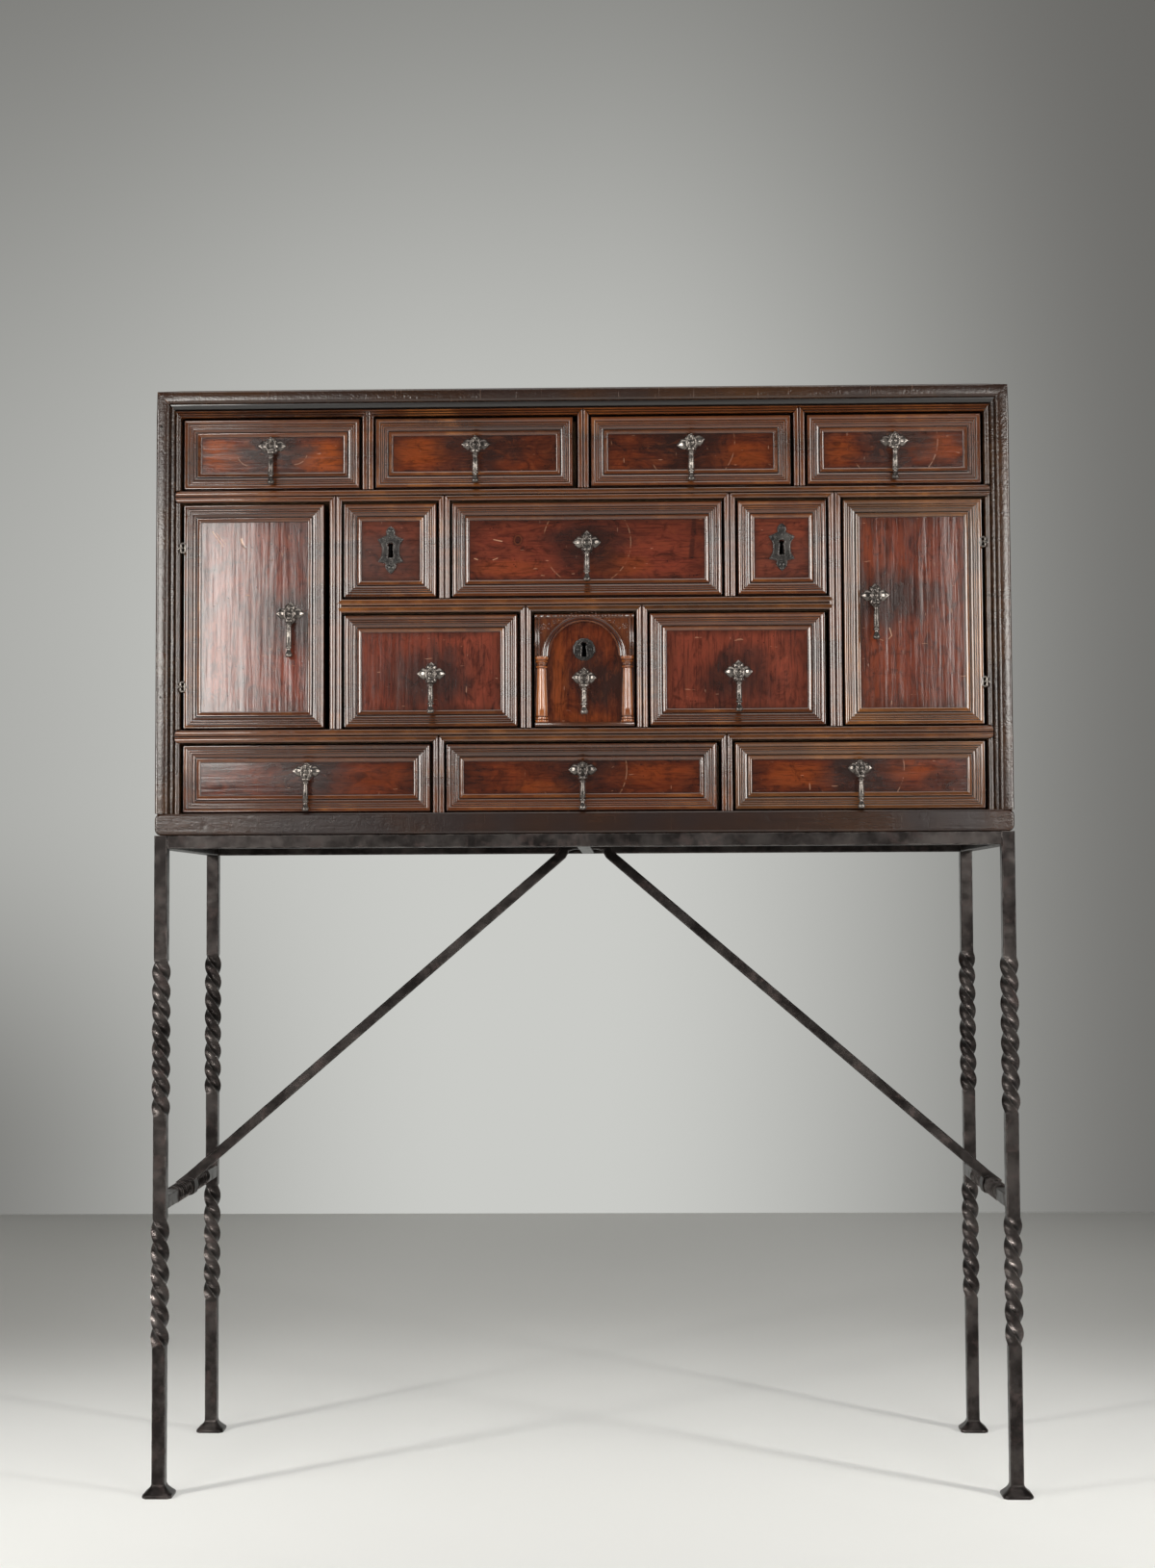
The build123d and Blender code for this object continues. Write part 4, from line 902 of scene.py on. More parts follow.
def wire(
    bm, points, half_width, half_depth, closed=False, section=None, cuts=8, seed=0.0, hammer=0.0, paint=0
):
    """A bar or wire along points that lie in a plane. Its width is in that plane, its depth across it."""
    points = [Vector(point) for point in points]
    if closed:
        points.append(points[0])
    lengths = [0.0]
    for before, after in zip(points, points[1:]):
        lengths.append(lengths[-1] + (after - before).length)

    def at(share):
        distance = min(max(share, 0.0), 1.0) * lengths[-1]
        index = max(i for i in range(len(points) - 1) if lengths[i] <= distance + 1e-12)
        span = lengths[index + 1] - lengths[index]
        return points[index].lerp(points[index + 1], (distance - lengths[index]) / span)

    normal = Vector((0, 0, 0))
    for before, after in zip(points, points[1:]):
        normal += (before - points[0]).cross(after - points[0])
    if normal.length < 1e-12:
        way = points[-1] - points[0]
        normal = way.cross(Vector((0, 0, 1) if abs(way.normalized().z) < 0.9 else (0, 1, 0)))
    normal.normalize()

    def place(a, b, share):
        step = 0.004
        if closed:
            before, after = at((share - step) % 1.0), at((share + step) % 1.0)
        else:
            before, after = at(share - step), at(share + step)
        way = (after - before).normalized()
        side = way.cross(normal)
        point = at(share % 1.0 if closed and share >= 1.0 else share)
        point = point + side * (a * half_width) + normal * (b * half_depth)
        if hammer and (0 < share < 1 or not closed):
            point += unevenness(point, seed, hammer, 160.0)
        return point

    section = section or [(a, b, 0.7) for a, b in circle(10)]
    return swept(bm, section, cuts, place, closed=closed, paint=paint)


bar_clip = 0.12
flat_half = 0.88
twist_run_out = 0.010
twisted_clip = 0.03
twisted_hollow = 0.13


def forged_bar(bm, start, end, side, half, twists=(), cuts=40, hammer=0.0002, seed=0.0, flare=None):
    """A square bar from start to end. twists are (from, to, turns) as distances; flare(distance) gives
    (half width, clip) where it isn't the plain bar."""
    start, end, side = Vector(start), Vector(end), Vector(side)
    way = (end - start).normalized()
    depth = way.cross(side)
    length = (end - start).length

    def turned_by(distance):
        total = 0.0
        for first, last, turns in twists:
            share = min(max((distance - first) / (last - first), 0.0), 1.0)
            total += 2 * pi * turns * share
        return total

    def twisted_share(distance):
        shares = [0.0]
        for first, last, _ in twists:
            nearest_end = min(distance - first, last - distance)
            shares.append(min(1.0, max(0.0, nearest_end / twist_run_out)))
        return max(shares)

    def place(a, b, share):
        distance = share * length
        width, cut = flare(distance) if flare else (half, bar_clip)
        wrung = twisted_share(distance)
        cut = cut + (twisted_clip - cut) * wrung
        side_place = min(abs(a), abs(b)) / flat_half
        hollow = 1 - twisted_hollow * wrung * (1 - side_place ** 2)
        if abs(a) > abs(b):
            a, b = a * hollow, b * (1 - cut) / flat_half
        else:
            a, b = a * (1 - cut) / flat_half, b * hollow
        angle = turned_by(distance)
        x = (a * cos(angle) - b * sin(angle)) * width
        y = (a * sin(angle) + b * cos(angle)) * width
        point = start + way * distance + side * x + depth * y
        bump = unevenness(point, seed, hammer, 60.0)
        inside = (start + way * distance - point).normalized()
        return point + inside * abs(bump.x + bump.y)

    return swept(bm, square_section(bar_clip), cuts, place)


# Case


# What age and wear have taken off the left and the right of each front
trims = {
    "left_door": (0.0019, 0.0042),
    "right_door": (0.0002, 0.0020),
    "top_drawer_1": (0.0019, 0.0010),
    "top_drawer_2": (0.0004, 0.0034),
    "top_drawer_3": (0.0004, 0.0014),
    "top_drawer_4": (0.0004, 0.0020),
    "middle_drawer_left": (0.0006, 0.0012),
    "middle_drawer_right": (0.0, 0.0032),
    "bottom_drawer_1": (0.0019, 0.0010),
    "bottom_drawer_2": (0.0004, 0.0032),
    "bottom_drawer_3": (0.0004, 0.0020),
    "arch_drawer": (0.0018, 0.0008),
}


def front_box(node):
    """A front's outline, as x0, x1, z0, z1, with what age and wear have taken off its sides."""
    low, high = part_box(node)
    foot_spare = 0.0 if node in doors else 0.0012
    left, right = trims.get(node, (0.0004, 0.0006))
    return low.x + left, high.x - right, low.z + foot_spare, high.z - 0.0004


def trimmed(bm, x0, x1):
    """Draw a board's sides in to a front's outline."""
    for vert in bm.verts:
        vert.co.x = min(max(vert.co.x, x0), x1)
    return bm


def widened(bm, x, z):
    """Widen a keyhole that was cut at (x, z)."""
    for vert in bm.verts:
        if abs(vert.co.x - x) < keyhole_half_width and abs(vert.co.z - z) < keyhole_half_height:
            vert.co.x = x + (vert.co.x - x) * keyhole_scale
    return bm


def rounded_corners(bm, chosen, width):
    """Round the edges that chosen(edge) picks."""
    rounded(bm, [edge for edge in bm.edges if chosen(edge)], width, 4)
    claimed(bm, outwards=False)
    return bm


def at_corner(edge, level):
    """Whether an edge runs from front to back along one of the case's corners at a level."""
    first, last = edge.verts[0].co, edge.verts[1].co
    along = abs(first.x - last.x) < 1e-5 and abs(first.z - last.z) < 1e-5
    return along and abs(first.x) > case_right - 1e-4 and abs(first.z - level) < 1e-4


def make_case_boards():
    """The dovetailed boards and the back planks, their edges eased."""
    boards = {"case_top": case_x, "case_bottom": case_x, "case_left_side": case_z, "case_right_side": case_z}
    for node, finish in boards.items():
        bm = rounded_corners(cad_copy(node), lambda edge: at_corner(edge, case_top_level), 0.0036)
        rounded_corners(bm, lambda edge: at_corner(edge, case_foot), 0.0060)
        bm = eased(bm, 0.0009)
        finished(node + "_board", "cabinet", bm, [finish], [node])
    low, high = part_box("case_back")
    bm = fresh()
    count = 3
    step = (high.z - low.z) / count
    half_joint = 0.0003
    for index in range(count):
        foot = low.z + index * step
        plank(bm, (low.x, low.y, foot + half_joint), (high.x, high.y, foot + step - half_joint), 0.0012)
    finished("case_back_planks", "cabinet", bm, [inner_x], ["case_back"])


def corner_rounded(bm, radius):
    """Draw the upper corners of the case's front edge in to a curve."""
    for vert in bm.verts:
        dx = abs(vert.co.x) - (case_right - radius)
        dz = vert.co.z - (case_top_level - radius)
        reach = hypot(dx, dz)
        if dx > 0 and dz > 0 and reach > radius:
            side = 1 if vert.co.x > 0 else -1
            vert.co.x = side * (case_right - radius + dx * radius / reach)
            vert.co.z = case_top_level - radius + dz * radius / reach
    return bm


def make_case_mouldings():
    """The bands and inner mouldings round the case's front."""
    bm = fresh()
    foot, top = bottom_row_floor, case_top_level
    band_left, band_right, band_top = case_left + band_width, case_right - band_width, top - band_width
    side_inner_width, top_inner_width = 14.0, 17.0
    side_lean = top_inner_width / side_inner_width
    outer, flat = side_band_profile(), side_flat_profile()
    run_of(bm, outer, (case_left, top), (case_left, foot), (1, 0), lean=(1, 0), seed=3, paint=1)
    run_of(bm, outer, (case_right, foot), (case_right, top), (-1, 0), lean=(0, 1), seed=4, paint=1)
    run_of(bm, outer, (case_right, top), (case_left, top), (0, -1), lean=(1, 1), seed=5)
    side_bead = side_bead_profile()
    inner_runs = [(flat, foot, band_top, 6)]
    breaks = [
        (foot, shelf_low - fine_gap),
        (shelf_low_top + fine_gap, shelf_high - fine_gap),
        (shelf_high_top + fine_gap, band_top),
    ]
    inner_runs += [(side_bead, z0, z1, 8 + index) for index, (z0, z1) in enumerate(breaks)]
    for profile, z0, z1, seed in inner_runs:
        lean = side_lean if z1 == band_top else 0
        right_seed = seed + (1 if profile is flat else 4)
        run_of(bm, profile, (band_left, z1), (band_left, z0), (1, 0), lean=(lean, 0), seed=seed, paint=2)
        start, end = (band_right, z0), (band_right, z1)
        run_of(bm, profile, start, end, (-1, 0), lean=(0, lean), seed=right_seed, paint=2)
    corner_rounded(bm, 0.004)
    woods = [band_x, band_z, moulding_z]
    finished("case_side_mouldings", "cabinet", bm, woods, ["case_mouldings"])

    bm = fresh()
    nail_x, nail_levels = -0.5135, (1.2913, 0.9593)
    for z in nail_levels:
        nail_head(bm, nail_x, z, front_face + fine_gap, 0.0017, 0.0005)
    finished("case_band_nails", "cabinet", bm, [plate_iron])

    bm = fresh()
    lean = (1 / side_lean, 1 / side_lean)
    start, end = (band_right, band_top), (band_left, band_top)
    run_of(bm, top_inner_profile(), start, end, (0, -1), lean=lean, seed=8)
    for x, width in divider_places["top"]:
        notched(bm, x, top_row_ceiling, width)
    finished("case_top_moulding", "cabinet", bm, [moulding_x])

    bm = fresh()
    block(bm, (case_left, front_face, case_foot), (case_right, boards_front, foot))
    rounded_corners(bm, lambda edge: abs(edge.verts[0].co.y - edge.verts[1].co.y) > 0.005, 0.0075)
    eased(bm, 0.0032, 4)
    finished("case_bottom_moulding", "cabinet", bm, [base_x])


# The (x, width) of each upright in a row, left to right
divider_places = {
    "top": [(-0.261, 0.015), (0.0025, 0.015), (0.266, 0.015)],
    "upper": [(-0.1675, 0.015), (0.1805, 0.015)],
    "lower": [(-0.0685, 0.015), (0.073, 0.015)],
    "bottom": [(-0.175, 0.015), (0.175, 0.015)],
    "tall": [(-0.3005, 0.0165), (0.308, 0.0165)],
}
row_levels = {
    "top": (shelf_high_top, top_row_ceiling),
    "upper": (shelf_middle_top, shelf_high),
    "lower": (shelf_low_top, shelf_middle),
    "bottom": (bottom_row_floor, shelf_low),
    "tall": (shelf_low_top, shelf_high),
}
# Each lock's bolt, and the underside of the shelf above it
lock_bolts = {
    "small_drawer_left_bolt": shelf_high,
    "small_drawer_right_bolt": shelf_high,
    "arch_drawer_bolt": shelf_middle,
}
bolt_rise = 0.009
mortise_room = 0.0006
mortise_end_room = 0.0015


def cut_mortises(boards):
    """Pockets in the undersides of the shelves, where the raised bolts go."""
    for bolt, underside in lock_bolts.items():
        low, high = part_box(bolt)
        roof_level = high.z + bolt_rise + mortise_end_room
        low_corner = Vector((low.x - mortise_room, low.y - mortise_room, underside))
        high_corner = Vector((high.x + mortise_room, high.y + mortise_room, roof_level))
        for spot in (low_corner, high_corner):
            for facing in (Vector((1, 0, 0)), Vector((0, 1, 0))):
                geometry = list(boards.verts) + list(boards.edges) + list(boards.faces)
                bmesh.ops.bisect_plane(boards, geom=geometry, dist=1e-7, plane_co=spot, plane_no=facing)
        middle = (low_corner + high_corner) / 2
        middle.z = underside
        mouth = min(boards.faces, key=lambda face: (face.calc_center_median() - middle).length)
        pocket = bmesh.ops.extrude_face_region(boards, geom=[mouth])
        bmesh.ops.translate(boards, verts=of_kind(pocket, BMVert), vec=(0, 0, high_corner.z - underside))
        if mouth.is_valid:
            bmesh.ops.delete(boards, geom=[mouth], context="FACES_ONLY")


def make_dividers():
    """Upright boards with reeded strips that end in points, and the shelves between the rows."""
    boards = fresh()
    strips = fresh()
    half_board = 0.0055
    board_edge = 0.0004
    seed = 10.0
    for row, (floor_level, ceiling) in row_levels.items():
        for x, width in divider_places[row]:
            seed += 1.3
            low, high = (x - half_board, boards_front, floor_level), (x + half_board, boards_back, ceiling)
            plank(boards, low, high, board_edge)
            foot, head = (x + width / 2, floor_level), (x + width / 2, ceiling)
            run_of(strips, strip_profile(width), foot, head, (-1, 0), tip=(0, width), seed=seed, paint=1)
    finished("divider_boards", "cabinet", boards, [inner_y], ["partitions"])
    finished("divider_strips", "cabinet", strips, [moulding_x, moulding_z])

    boards = fresh()
    strips = fresh()
    edges = [
        (-inner_edge, inner_edge, shelf_low, shelf_low_top, ("bottom",), False),
        (-0.29225, 0.29975, shelf_middle, shelf_middle_top, ("lower",), True),
        (-inner_edge, inner_edge, shelf_high, shelf_high_top, ("upper", "tall"), False),
    ]
    for index, (x0, x1, z0, z1, rows, housed) in enumerate(edges):
        plank(boards, (x0, boards_front, z0), (x1, boards_back, z1), board_edge)
        width = z1 - z0
        one = fresh()
        rise, tip, nose = (8.05, (width, width), 0.0) if housed else (8.0, (0, 0), shelf_nose)
        profile, start, end = strip_profile(width, rise), (x0 - nose, z0), (x1 + nose, z0)
        run_of(one, profile, start, end, (0, 1), tip=tip, seed=40.0 + index, nose=nose * 0.7)
        for row in rows:
            for x, divider_width in divider_places[row]:
                notched(one, x, z0, divider_width)
        whole = bpy.data.meshes.new("shelf_edge")
        one.to_mesh(whole)
        one.free()
        strips.from_mesh(whole)
        bpy.data.meshes.remove(whole)
    cut_mortises(boards)
    finished("shelf_boards", "cabinet", boards, [inner_x], ["shelves"])
    finished("shelf_strips", "cabinet", strips, [shelf_x])


# Fronts


def front_board_only(face):
    """Whether a face of a front's node belongs to its board."""
    middle = face.calc_center_median()
    low = min(vert.co.y for vert in face.verts)
    high = max(vert.co.y for vert in face.verts)
    if low < panel_face - 1e-5 or high > front_inside + 1e-5:
        return False
    if middle.y > front_inside - 1e-5 and face.normal.y < -0.9:
        return False
    return not (middle.y < panel_face + 1e-5 and face.normal.y > 0.9)


def make_drawer_box(node):
    """The bare boards behind a drawer's front."""
    low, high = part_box(node)
    side, bottom, back = 0.009, 0.007, 0.009
    deck, rim = low.z + bottom, high.z - 0.002
    bm = fresh()
    plank(bm, (low.x, front_inside, low.z), (high.x, high.y, deck), 0.0005)
    plank(bm, (low.x, front_inside, deck), (low.x + side, high.y, rim), 0.0007)
    plank(bm, (high.x - side, front_inside, deck), (high.x, high.y, rim), 0.0007)
    plank(bm, (low.x + side, high.y - back, deck), (high.x - side, high.y, rim), 0.0007)
    finished(node + "_boards", node, bm, [inner_y], [node])


golden_fronts = ("bottom_drawer_3", "right_door")


def keyhole_place(lock):
    """The (x, z) of a small drawer's keyhole, from its lock."""
    low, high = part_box(lock)
    return (low.x + high.x) / 2, low.z + keyhole_level


def make_front(node, seed, **marks):
    """A front's board with its own panel finish, and its four mouldings."""
    x0, x1, z0, z1 = front_box(node)
    pivot = pendant_places.get(node)
    pull = (pivot.x, pivot.z) if pivot else ((x0 + x1) / 2, (z0 + z1) / 2)
    low = (x0 + moulding_width, z0 + moulding_width)
    high = (x1 - moulding_width, z1 - moulding_width)
    finish = panel_walnut(node + "_panel", low, high, pull, seed, **marks)
    bm = trimmed(cad_copy(node, front_board_only), x0, x1)
    if node in small_drawers:
        widened(bm, *keyhole_place(node + "_lock"))
    bm = eased(bm, 0.0004)
    finished(node + "_panel", node, bm, [finish], [node])
    bm = fresh()
    mitred(bm, x0, x1, z0, z1, seed * 10)
    woods = [golden_x, golden_z] if node in golden_fronts else [moulding_x, moulding_z]
    finished(node + "_mouldings", node, bm, woods, [node])
    if node not in doors:
        make_drawer_box(node)


# Ironwork of the fronts


def rosette_petal(bm, centre, angle, reach, half_width, rise):
    """A pointed leaf, domed along and across, with a dent on its crest."""
    out = Vector((cos(angle), 0, sin(angle)))
    aside = Vector((-sin(angle), 0, cos(angle)))
    widest = 0.62

    def place(across, up):
        t = across * 2 - 1
        if up < widest:
            width = half_width * (0.42 + 0.58 * sin(pi * up / widest / 2))
        else:
            width = half_width * (1 - ((up - widest) / 0.38) ** 1.35)
        swell = sin(pi * min(0.98, up * 0.86 + 0.14)) ** 0.7
        height = rise * swell * (1 - t * t) ** 0.75 + 0.0004
        crease = 0.00035 * (1 - min(1.0, abs(t) * 3.0)) * (up < 0.9)
        point = centre + out * (reach * up) + aside * (width * t) + Vector((0, -(height - crease), 0))
        return point, 0.3 + 0.7 * (1 - abs(t)) * swell

    sheet(bm, 10, 12, place, (0, 0.0004, 0))


def make_pull_mount(front, node, pivot, side_reach, upright_reach, tilt):
    """A four-leaved rosette, the staple through it, and the staple's clinched legs."""
    bm = fresh()
    centre = Vector((pivot.x, panel_face, pivot.z - rosette_drop))
    for quarter in range(4):
        reach, half_width = (upright_reach, 0.0066) if quarter % 2 else (side_reach, 0.0068)
        rosette_petal(bm, centre, tilt + quarter * pi / 2, reach, half_width, 0.0034)
    boss = [(0.0, 4.6, 0.9), (2.2, 4.5, 0.9), (3.8, 3.6, 0.8), (4.7, 2.0, 0.4), (5.0, 0.0, 0.0)]
    turned(bm, in_metres(boss), centre, axis=(0, -1, 0), steps=20)
    radius = 0.0033
    eye = [(pivot.x, pivot.y + radius * across * 0.95, pivot.z + radius * up) for across, up in circle(18)]
    wire(bm, eye, 0.0011, 0.00145, closed=True, cuts=35, seed=pivot.x * 9)
    half, clinch_half, eye_back, inside = 0.0014, 0.0015, pivot.y + 0.0026, front_inside + 0.0015
    low, high = (pivot.x - half, eye_back, pivot.z - half), (pivot.x + half, front_inside, pivot.z + half)
    plank(bm, low, high, 0.0005)
    for side in (-1, 1):
        foot, head = sorted((pivot.z, pivot.z + side * 0.009))
        low, high = (pivot.x - clinch_half, front_inside, foot), (pivot.x + clinch_half, inside, head)
        plank(bm, low, high, 0.0004)
    finished(front + "_rosette", front, bm, [pull_iron], [node])


stirrup_half_width, stirrup_half_height = 0.0056, 0.0078
stirrup_drop, stirrup_head = 0.0066, 0.0004
stem_top, stem_end, facet_fade = 0.0235, 0.0150, 0.003


def make_pendant(node, pivot):
    """A hanging pull: a stirrup on a bar, collars, a faceted stem and a bell end."""
    bm = fresh()
    length = pivot.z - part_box(node)[0].z
    outline = []
    for step in range(26):
        angle = -pi / 2 + 2 * pi * step / 26
        z = stirrup_half_height * sin(angle) - stirrup_drop
        spread = 1.0396 if z > 0 else 1.0
        x = stirrup_half_width * cos(angle) * spread
        outline.append((pivot.x + x, pivot.y, min(pivot.z + z, pivot.z + stirrup_head)))
    wire(bm, outline, 0.0012, 0.0016, closed=True, cuts=51, seed=pivot.x * 5 + pivot.z)
    end = [
        (0.0, 0.0, 0.5), (3.2, 0.2, 0.6), (4.3, 1.4, 0.9), (4.5, 2.8, 1.0), (4.0, 4.6, 0.8), (3.0, 7.0, 0.6),
        (2.4, 9.0, 0.4), (2.5, 10.4, 0.3), (3.9, 11.2, 0.9), (4.1, 12.2, 1.0), (3.9, 13.1, 0.9),
        (2.9, 14.2, 0.3), (3.6, 15.5, 0.7),
    ]
    head = [
        (3.5, -30.0, 0.7), (3.0, -24.8, 0.6), (2.6, -22.8, 0.4), (2.7, -21.6, 0.3), (3.8, -20.9, 0.9),
        (3.9, -20.0, 0.9), (3.4, -19.2, 0.5), (3.0, -18.4, 0.2), (3.4, -17.6, 0.4), (5.4, -16.8, 0.9),
        (5.7, -15.7, 1.0), (5.4, -14.7, 0.9), (3.2, -13.8, 0.6), (0.0, -13.2, 0.5),
    ]
    profile = [(radius, level - length, rub) for radius, level, rub in in_metres(end)] + in_metres(head)
    sector = pi / 4
    for vert in turned(bm, profile, pivot):
        level = pivot.z - vert.co.z
        within = min(level - stem_top, length - stem_end - level)
        stem = min(max(within / facet_fade, 0.0), 1.0)
        if stem > 0:
            offset = Vector((vert.co.x - pivot.x, vert.co.y - pivot.y))
            folded = (atan2(offset.y, offset.x) + sector / 2) % sector - sector / 2
            scale = 1 + (cos(sector / 2) / cos(folded) - 1) * stem
            vert.co.x = pivot.x + offset.x * scale
            vert.co.y = pivot.y + offset.y * scale
    finished(node + "_turned", node, bm, [pull_iron], [node], sharp=50)


def works_only(face):
    """Whether a face of a lock's node belongs to the works inside the front."""
    return min(vert.co.y for vert in face.verts) > front_inside - 1e-5


def keyhole_outline(x, z, swell):
    """A keyhole's edge as (x, z), widened and then swollen all round."""
    head, half_height = 0.0023, 0.009
    points = []
    for step in range(13):
        angle = radians(-50 + 280 * step / 12)
        across, up = (head * keyhole_scale + swell) * cos(angle), (head + swell) * sin(angle)
        points.append((x + across, z + half_height - head + up))
    foot = 0.0021 * keyhole_scale + swell
    points += [(x - foot, z - half_height - swell), (x + foot, z - half_height - swell)]
    return points


plate_front = panel_face - lock_plate


def keyhole_rim(bm, x, z, swell):
    """A fine raised rim round a keyhole, a little outside its edge."""
    points = [(px, plate_front, pz) for px, pz in keyhole_outline(x, z, swell)]
    wire(bm, points, 0.0007, 0.0008, closed=True, cuts=55, paint=1)


def pierced_plate(bm, outline, hole):
    """A flat plate with a hole through it, from outlines of (x, z)."""
    rub = bm.verts.layers.float["rub"]
    edges = []
    for ring in (outline, hole):
        verts = [bm.verts.new((px, plate_front, pz)) for px, pz in ring]
        for vert in verts:
            vert[rub] = 0.6
        edges += [bm.edges.new(pair) for pair in zip(verts, verts[1:] + verts[:1])]
    filled = bmesh.ops.triangle_fill(bm, edges=edges, use_beauty=True)
    made = bmesh.ops.extrude_face_region(bm, geom=of_kind(filled, BMFace), use_keep_orig=True)
    bmesh.ops.translate(bm, verts=of_kind(made, BMVert), vec=(0, lock_plate, 0))
    claimed(bm)


def nail_head(bm, x, z, level, radius, rise, paint=0):
    """A domed nail head."""
    profile = [
        (0.0, rise, 1.0),
        (radius * 0.45, rise * 0.92, 1.0),
        (radius * 0.8, rise * 0.6, 0.8),
        (radius, rise * 0.12, 0.4),
        (radius * 0.98, 0.0, 0.0),
    ]
    turned(bm, profile, (x, level, z), axis=(0, -1, 0), steps=16, paint=paint)


def shield_outline(x, z, shrink=1.0):
    """The cartouche: a knop, two pairs of spikes, hollow sides and a pointed drop, as (x, z)."""
    half = [
        (0.0, 29.2), (2.6, 28.2), (4.5, 25.6), (5.0, 22.8), (4.2, 20.2), (5.6, 18.2), (9.0, 16.4),
        (12.0, 15.0), (15.7, 13.6), (13.8, 10.6), (11.6, 8.0), (10.5, 4.0), (10.3, 0.0), (10.6, -4.5),
        (11.8, -9.0), (15.4, -14.4), (11.5, -15.2), (8.0, -16.0), (5.6, -17.4), (6.4, -20.2), (5.4, -23.4),
        (3.2, -26.4),
    ]
    whole = half + [(0.0, -29.2)] + [(-across, up) for across, up in half[:0:-1]]
    return [(x + across * MM * shrink, z + up * MM * shrink) for across, up in whole]


def make_shield(front):
    """A small drawer's pierced cartouche, with its raised border, keyhole rim, knop and drop."""
    node = front + "_lock"
    x, z = keyhole_place(node)
    bm = fresh()
    pierced_plate(bm, shield_outline(x, z), keyhole_outline(x, z, 0.0))
    keyhole_rim(bm, x, z, 0.0008)
    border = [(px, plate_front, pz) for px, pz in shield_outline(x, z, 0.955)]
    wire(bm, border, 0.00075, 0.0007, closed=True, cuts=131, paint=1)
    for up, radius in ((24.0, 3.8), (-21.2, 4.0), (-25.2, 2.2), (15.8, 1.8), (-15.0, 1.8)):
        nail_head(bm, x, z + up * MM, plate_front, radius * MM, 1.7 * MM * radius / 3.8, paint=1)
    for side in (-1, 1):
        for across, up, radius in ((12.8, 12.4, 1.3), (12.4, -12.8, 1.3), (7.6, 12.8, 1.2)):
            nail_head(bm, x + side * across * MM, z + up * MM, plate_front, radius * MM, 0.0007, paint=1)
    finished(node + "_shield", front, bm, [plate_iron, pull_iron], [node], sharp=45)
    make_lock_works(node, front)


def make_lock_works(node, body):
    """The lock's plate and bolt guides behind the front."""
    bm = cad_copy(node, works_only)
    finished(node + "_works", body, bm, [plate_iron], [node], sharp=20)


def make_round_plate(front, x, z):
    """The arched drawer's round lock plate: a scalloped rim, a raised ring, bosses and a keyhole rim."""
    node = front + "_lock"
    outline = []
    for step in range(72):
        angle = 2 * pi * step / 72
        reach = 0.0133 + 0.0006 * abs(sin(angle * 6))
        outline.append((x + reach * cos(angle), z + reach * sin(angle)))
    bm = fresh()
    pierced_plate(bm, outline, keyhole_outline(x, z, 0.0))
    ring_radius = 0.0122
    ring = [(x + ring_radius * across, plate_front, z + ring_radius * up) for across, up in circle(32)]
    wire(bm, ring, 0.0007, 0.0008, closed=True, cuts=63, paint=1)
    keyhole_rim(bm, x, z, 0.0007)
    for side in (-1, 1):
        nail_head(bm, x + side * 0.0079, z, plate_front, 0.0022, 0.0012, paint=1)
        for up in (0.0062, -0.0062):
            nail_head(bm, x + side * 0.0070, z + up, plate_front, 0.0012, 0.0007, paint=1)
    finished(node + "_plate", front, bm, [plate_iron, pull_iron], [node], sharp=45)
    make_lock_works(node, front)


# Arched drawer


